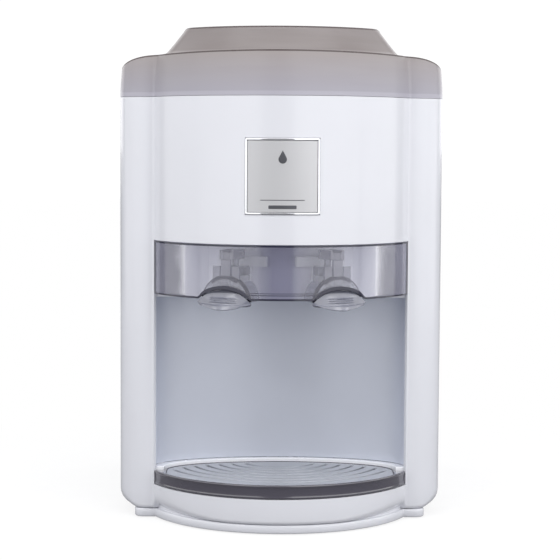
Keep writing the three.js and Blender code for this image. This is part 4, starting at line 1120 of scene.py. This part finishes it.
def lever_hood(side_name, side):
    """The dome behind the visor. Its roof is cut away behind the arm, where the valve stands."""
    relief = math.degrees(math.acos(RELIEF_X / HOOD_R))
    turns = spread([0, relief, 180 - relief, 180], 4)

    def skip(i, j):
        inside = relief - 0.1 < turns[i] and turns[i + 1] < 180 - relief + 0.1
        return inside and HOOD_LEVELS[j + 1][1] > REAR_OF_ARM - 0.1

    # the dark cells along the edge, and over the top a band of painted shadow
    def dark(i, j):
        over = HOOD_TOP[0] < turns[i] < HOOD_TOP[1]
        return j in HOOD_RING or (over and j == HOOD_SHADE_RING)

    rows = []
    for r, y in HOOD_LEVELS:
        rows.append([(r * direction(a).x, y, HOOD_Z + r * direction(a).y) for a in turns])
    bm = bmesh.new()
    add_grid(bm, rows, skip=skip, second=dark)
    piece(f"lever_hood_{side_name}", bm, f"lever_{side_name}", "clear lever_edge", 2, 0.3,
          [f"tap_lever_{side_name}"], side)


def lever_arm(side_name, side):
    """Arm, shoulders and the fork that holds the pin, as one moulding."""
    bm = bmesh.new()
    face = LEVER_FACE + 2
    add_block(bm, (-ARM_HALF, LEVER_FACE, VISOR_LOW.z), (ARM_HALF, REAR_OF_ARM, FORK_LOW))
    add_block(bm, (-WEB["half"], face, FORK_LOW), (WEB["half"], WEB["back"], FORK_HIGH))
    for s in (-1, 1):
        x0, x1 = sorted((s * CHEEK["inner"], s * CHEEK["outer"]))
        add_block(bm, (x0, face, FORK_LOW), (x1, CHEEK["back"], FORK_HIGH))
        x0, x1 = sorted((s * CHEEK_TOP["inner"], s * CHEEK["outer"]))
        add_block(bm, (x0, face, CHEEK_TOP["low"]), (x1, CHEEK["back"], CHEEK_TOP["high"]))
        x0, x1 = sorted((s * SHOULDERS["inner"], s * SHOULDERS["outer"]))
        add_block(bm, (x0, LEVER_FACE + 1, VISOR_LOW.z + 2), (x1, REAR_OF_ARM, SHOULDER_Z))
    piece(f"lever_arm_{side_name}", bm, f"lever_{side_name}", "lever_frame", bevel=0.5, side=side)


def lever_parts(side_name, side):
    lever_hood(side_name, side)
    lever_arm(side_name, side)
    bm = bmesh.new()
    add_lens(bm)
    piece(f"lever_lip_{side_name}", bm, f"lever_{side_name}", "lip", 2.2, 0.2, side=side,
          recalc=False)


# ---- CAD nodes that stay

KEPT = {
    "white_shell": "top_deck tap_body_left tap_body_right inlet_fitting pressure_regulator "
                   "drain_fitting",
    "liner": "tap_panel",
    "clear": "tap_bonnet_left tap_bonnet_right tap_stem_left tap_stem_right",
    "silicone": "tap_seal_left tap_seal_right drain_plug",
    "steel": "tap_spring_left tap_spring_right lever_pin_left lever_pin_right rear_screw_left "
             "rear_screw_right cold_tank",
    "filter": "sediment_cartridge carbon_cartridge",
    "black_plastic": "filter_manifold tank_stand fan_frame fan_rotor switch_housing switch_rocker "
                     "cord_gland",
    "foam": "tank_insulation insulation_lid",
    "aluminium": "cold_block heat_sink",
    "ceramic": "peltier_module",
    "board": "power_board",
    "hose": "inlet_hose feed_hose ambient_hose cold_hose",
}
OWN_LOOKS = {"tap_panel": "panel"}  # a finish of its own in the same slot: the liner made lighter as painted light behind the visor, with painted shade in the middle


def kept_nodes():
    for finish, names in KEPT.items():
        for name in names.split():
            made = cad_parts[name]
            made.data.materials.clear()
            made.data.materials.append(MATERIALS[OWN_LOOKS.get(name, finish)])
            made.data.shade_smooth()
            weld = made.modifiers.new("joined", "WELD")
            weld.merge_threshold = 0.01 * MM
            bevel_of(made, 0.25, 2)
            even_shading(made)


# ---- studio

CAMERA = {"place": (-20.4, -1694.3, 336.7), "yaw": 0.709, "pitch": -4.402, "roll": 0.321, "lens": 114.3}
AIM = Vector((0, 0, 0.2))
LIGHTS = {  # azimuth, elevation, distance, size and power
    "softbox_left": (-42, 14, 1.7, (1.7, 2.0), 12.5),
    "softbox_right": (37, 14, 1.7, (1.8, 2.0), 16),
    "side_left": (-89, 14, 1.8, (1.3, 1.8), 7),
    "side_right": (86, 14, 1.8, (1.3, 1.8), 9.5),
    "overhead": (0, 80, 2.0, (2.2, 2.2), 8),
    "front_fill": (0, 56, 1.8, (2.6, 0.8), 12),
    "back_left": (-140, 25, 2.2, (1.6, 1.8), 12),
    "back_right": (140, 25, 2.2, (1.6, 1.8), 12),
}
FLOOR_REACH = 9000
FLOOR_FADE = (0.2, 0.5)  # metres from the middle over which the floor turns into the backdrop


def camera():
    data = bpy.data.cameras.new("camera")
    data.lens = CAMERA["lens"]
    data.sensor_width = 36
    data.clip_end = 50
    made = new_object("camera", data)
    made.location = Vector(CAMERA["place"]) * MM
    turn = Matrix.Rotation(math.radians(-CAMERA["yaw"]), 4, "Z")
    tilt = Matrix.Rotation(math.radians(90 + CAMERA["pitch"]), 4, "X")
    roll = Matrix.Rotation(math.radians(CAMERA["roll"]), 4, "Z")
    made.rotation_mode = "QUATERNION"
    made.rotation_quaternion = (turn @ tilt @ roll).to_quaternion()
    bpy.context.scene.camera = made


def softbox(name, azimuth, elevation, distance, size, power):
    data = bpy.data.lights.new(name, "AREA")
    data.shape = "RECTANGLE"
    data.size, data.size_y = size
    data.energy = power
    made = new_object(name, data)
    a, e = math.radians(azimuth), math.radians(elevation)
    away = Vector((math.sin(a) * math.cos(e), -math.cos(a) * math.cos(e), math.sin(e)))
    made.location = AIM + away * distance
    made.rotation_mode = "QUATERNION"
    made.rotation_quaternion = away.to_track_quat("Z", "Y")
    made.visible_camera = False


def surroundings():
    """Even, slightly cool light from all round, in front of a white backdrop."""
    world = bpy.data.worlds.new("studio")
    world.use_nodes = True
    tree = world.node_tree
    tree.nodes.clear()
    fill = node(tree, "Background", {"Color": (0.96, 0.97, 1.0, 1), "Strength": 0.4})
    backdrop = node(tree, "Background", {"Color": (1, 1, 1, 1), "Strength": 1.05})
    seen = node(tree, "LightPath").outputs["Is Camera Ray"]
    both = node(tree, "MixShader",
                {0: seen, 1: fill.outputs["Background"], 2: backdrop.outputs["Background"]})
    node(tree, "OutputWorld", {"Surface": both.outputs["Shader"]})
    bpy.context.scene.world = world


def floor_paint():
    """White paint that turns into the backdrop further out, and throws little light back up."""
    made, tree = new_material()
    coords = node(tree, "TexCoord").outputs["Object"]
    away = node(tree, "VectorMath", {0: coords}, operation="LENGTH").outputs["Value"]
    cloud = spanned(tree, noise(tree, coords, 30.0), 0, 1)
    white = mixed(tree, cloud, srgb(246, 246, 248), srgb(252, 252, 253))
    paint = node(tree, "BsdfDiffuse", {"Color": white}).outputs["BSDF"]
    shine = node(tree, "Emission", {"Color": (1, 1, 1, 1), "Strength": 1.0}).outputs["Emission"]
    share = spanned(tree, away, 0.8, 1.0, FLOOR_FADE[0], FLOOR_FADE[1])
    looks = node(tree, "MixShader", {0: share, 1: paint, 2: shine}).outputs["Shader"]
    bounce = node(tree, "BsdfDiffuse", {"Color": (0.27, 0.27, 0.28, 1)}).outputs["BSDF"]
    seen = node(tree, "LightPath").outputs["Is Camera Ray"]
    mix = node(tree, "MixShader", {0: seen, 1: bounce, 2: looks})
    node(tree, "OutputMaterial", {"Surface": mix.outputs["Shader"]})
    return made


def floor():
    stops = (-FLOOR_REACH, 0, FLOOR_REACH)
    bm = bmesh.new()
    add_grid(bm, [[(x, y, 0) for x in stops] for y in stops])
    mesh = bpy.data.meshes.new("floor")
    bm.to_mesh(mesh)
    bm.free()
    mesh.materials.append(floor_paint())
    new_object("floor", mesh)


def studio():
    camera()
    for name, settings in LIGHTS.items():
        softbox(name, *settings)
    surroundings()
    floor()
    bpy.context.scene.view_settings.view_transform = "Standard"


# ---- build

front_housing()
side_panel("left", -1)
side_panel("right", 1)
rear_panel()
plinth()
feet()
lid()
badge()
niche()
niche_floor()
drip_tray()
drip_grille()
visor()
for side_name, side in SIDES.items():
    lever_parts(side_name, side)
kept_nodes()
studio()
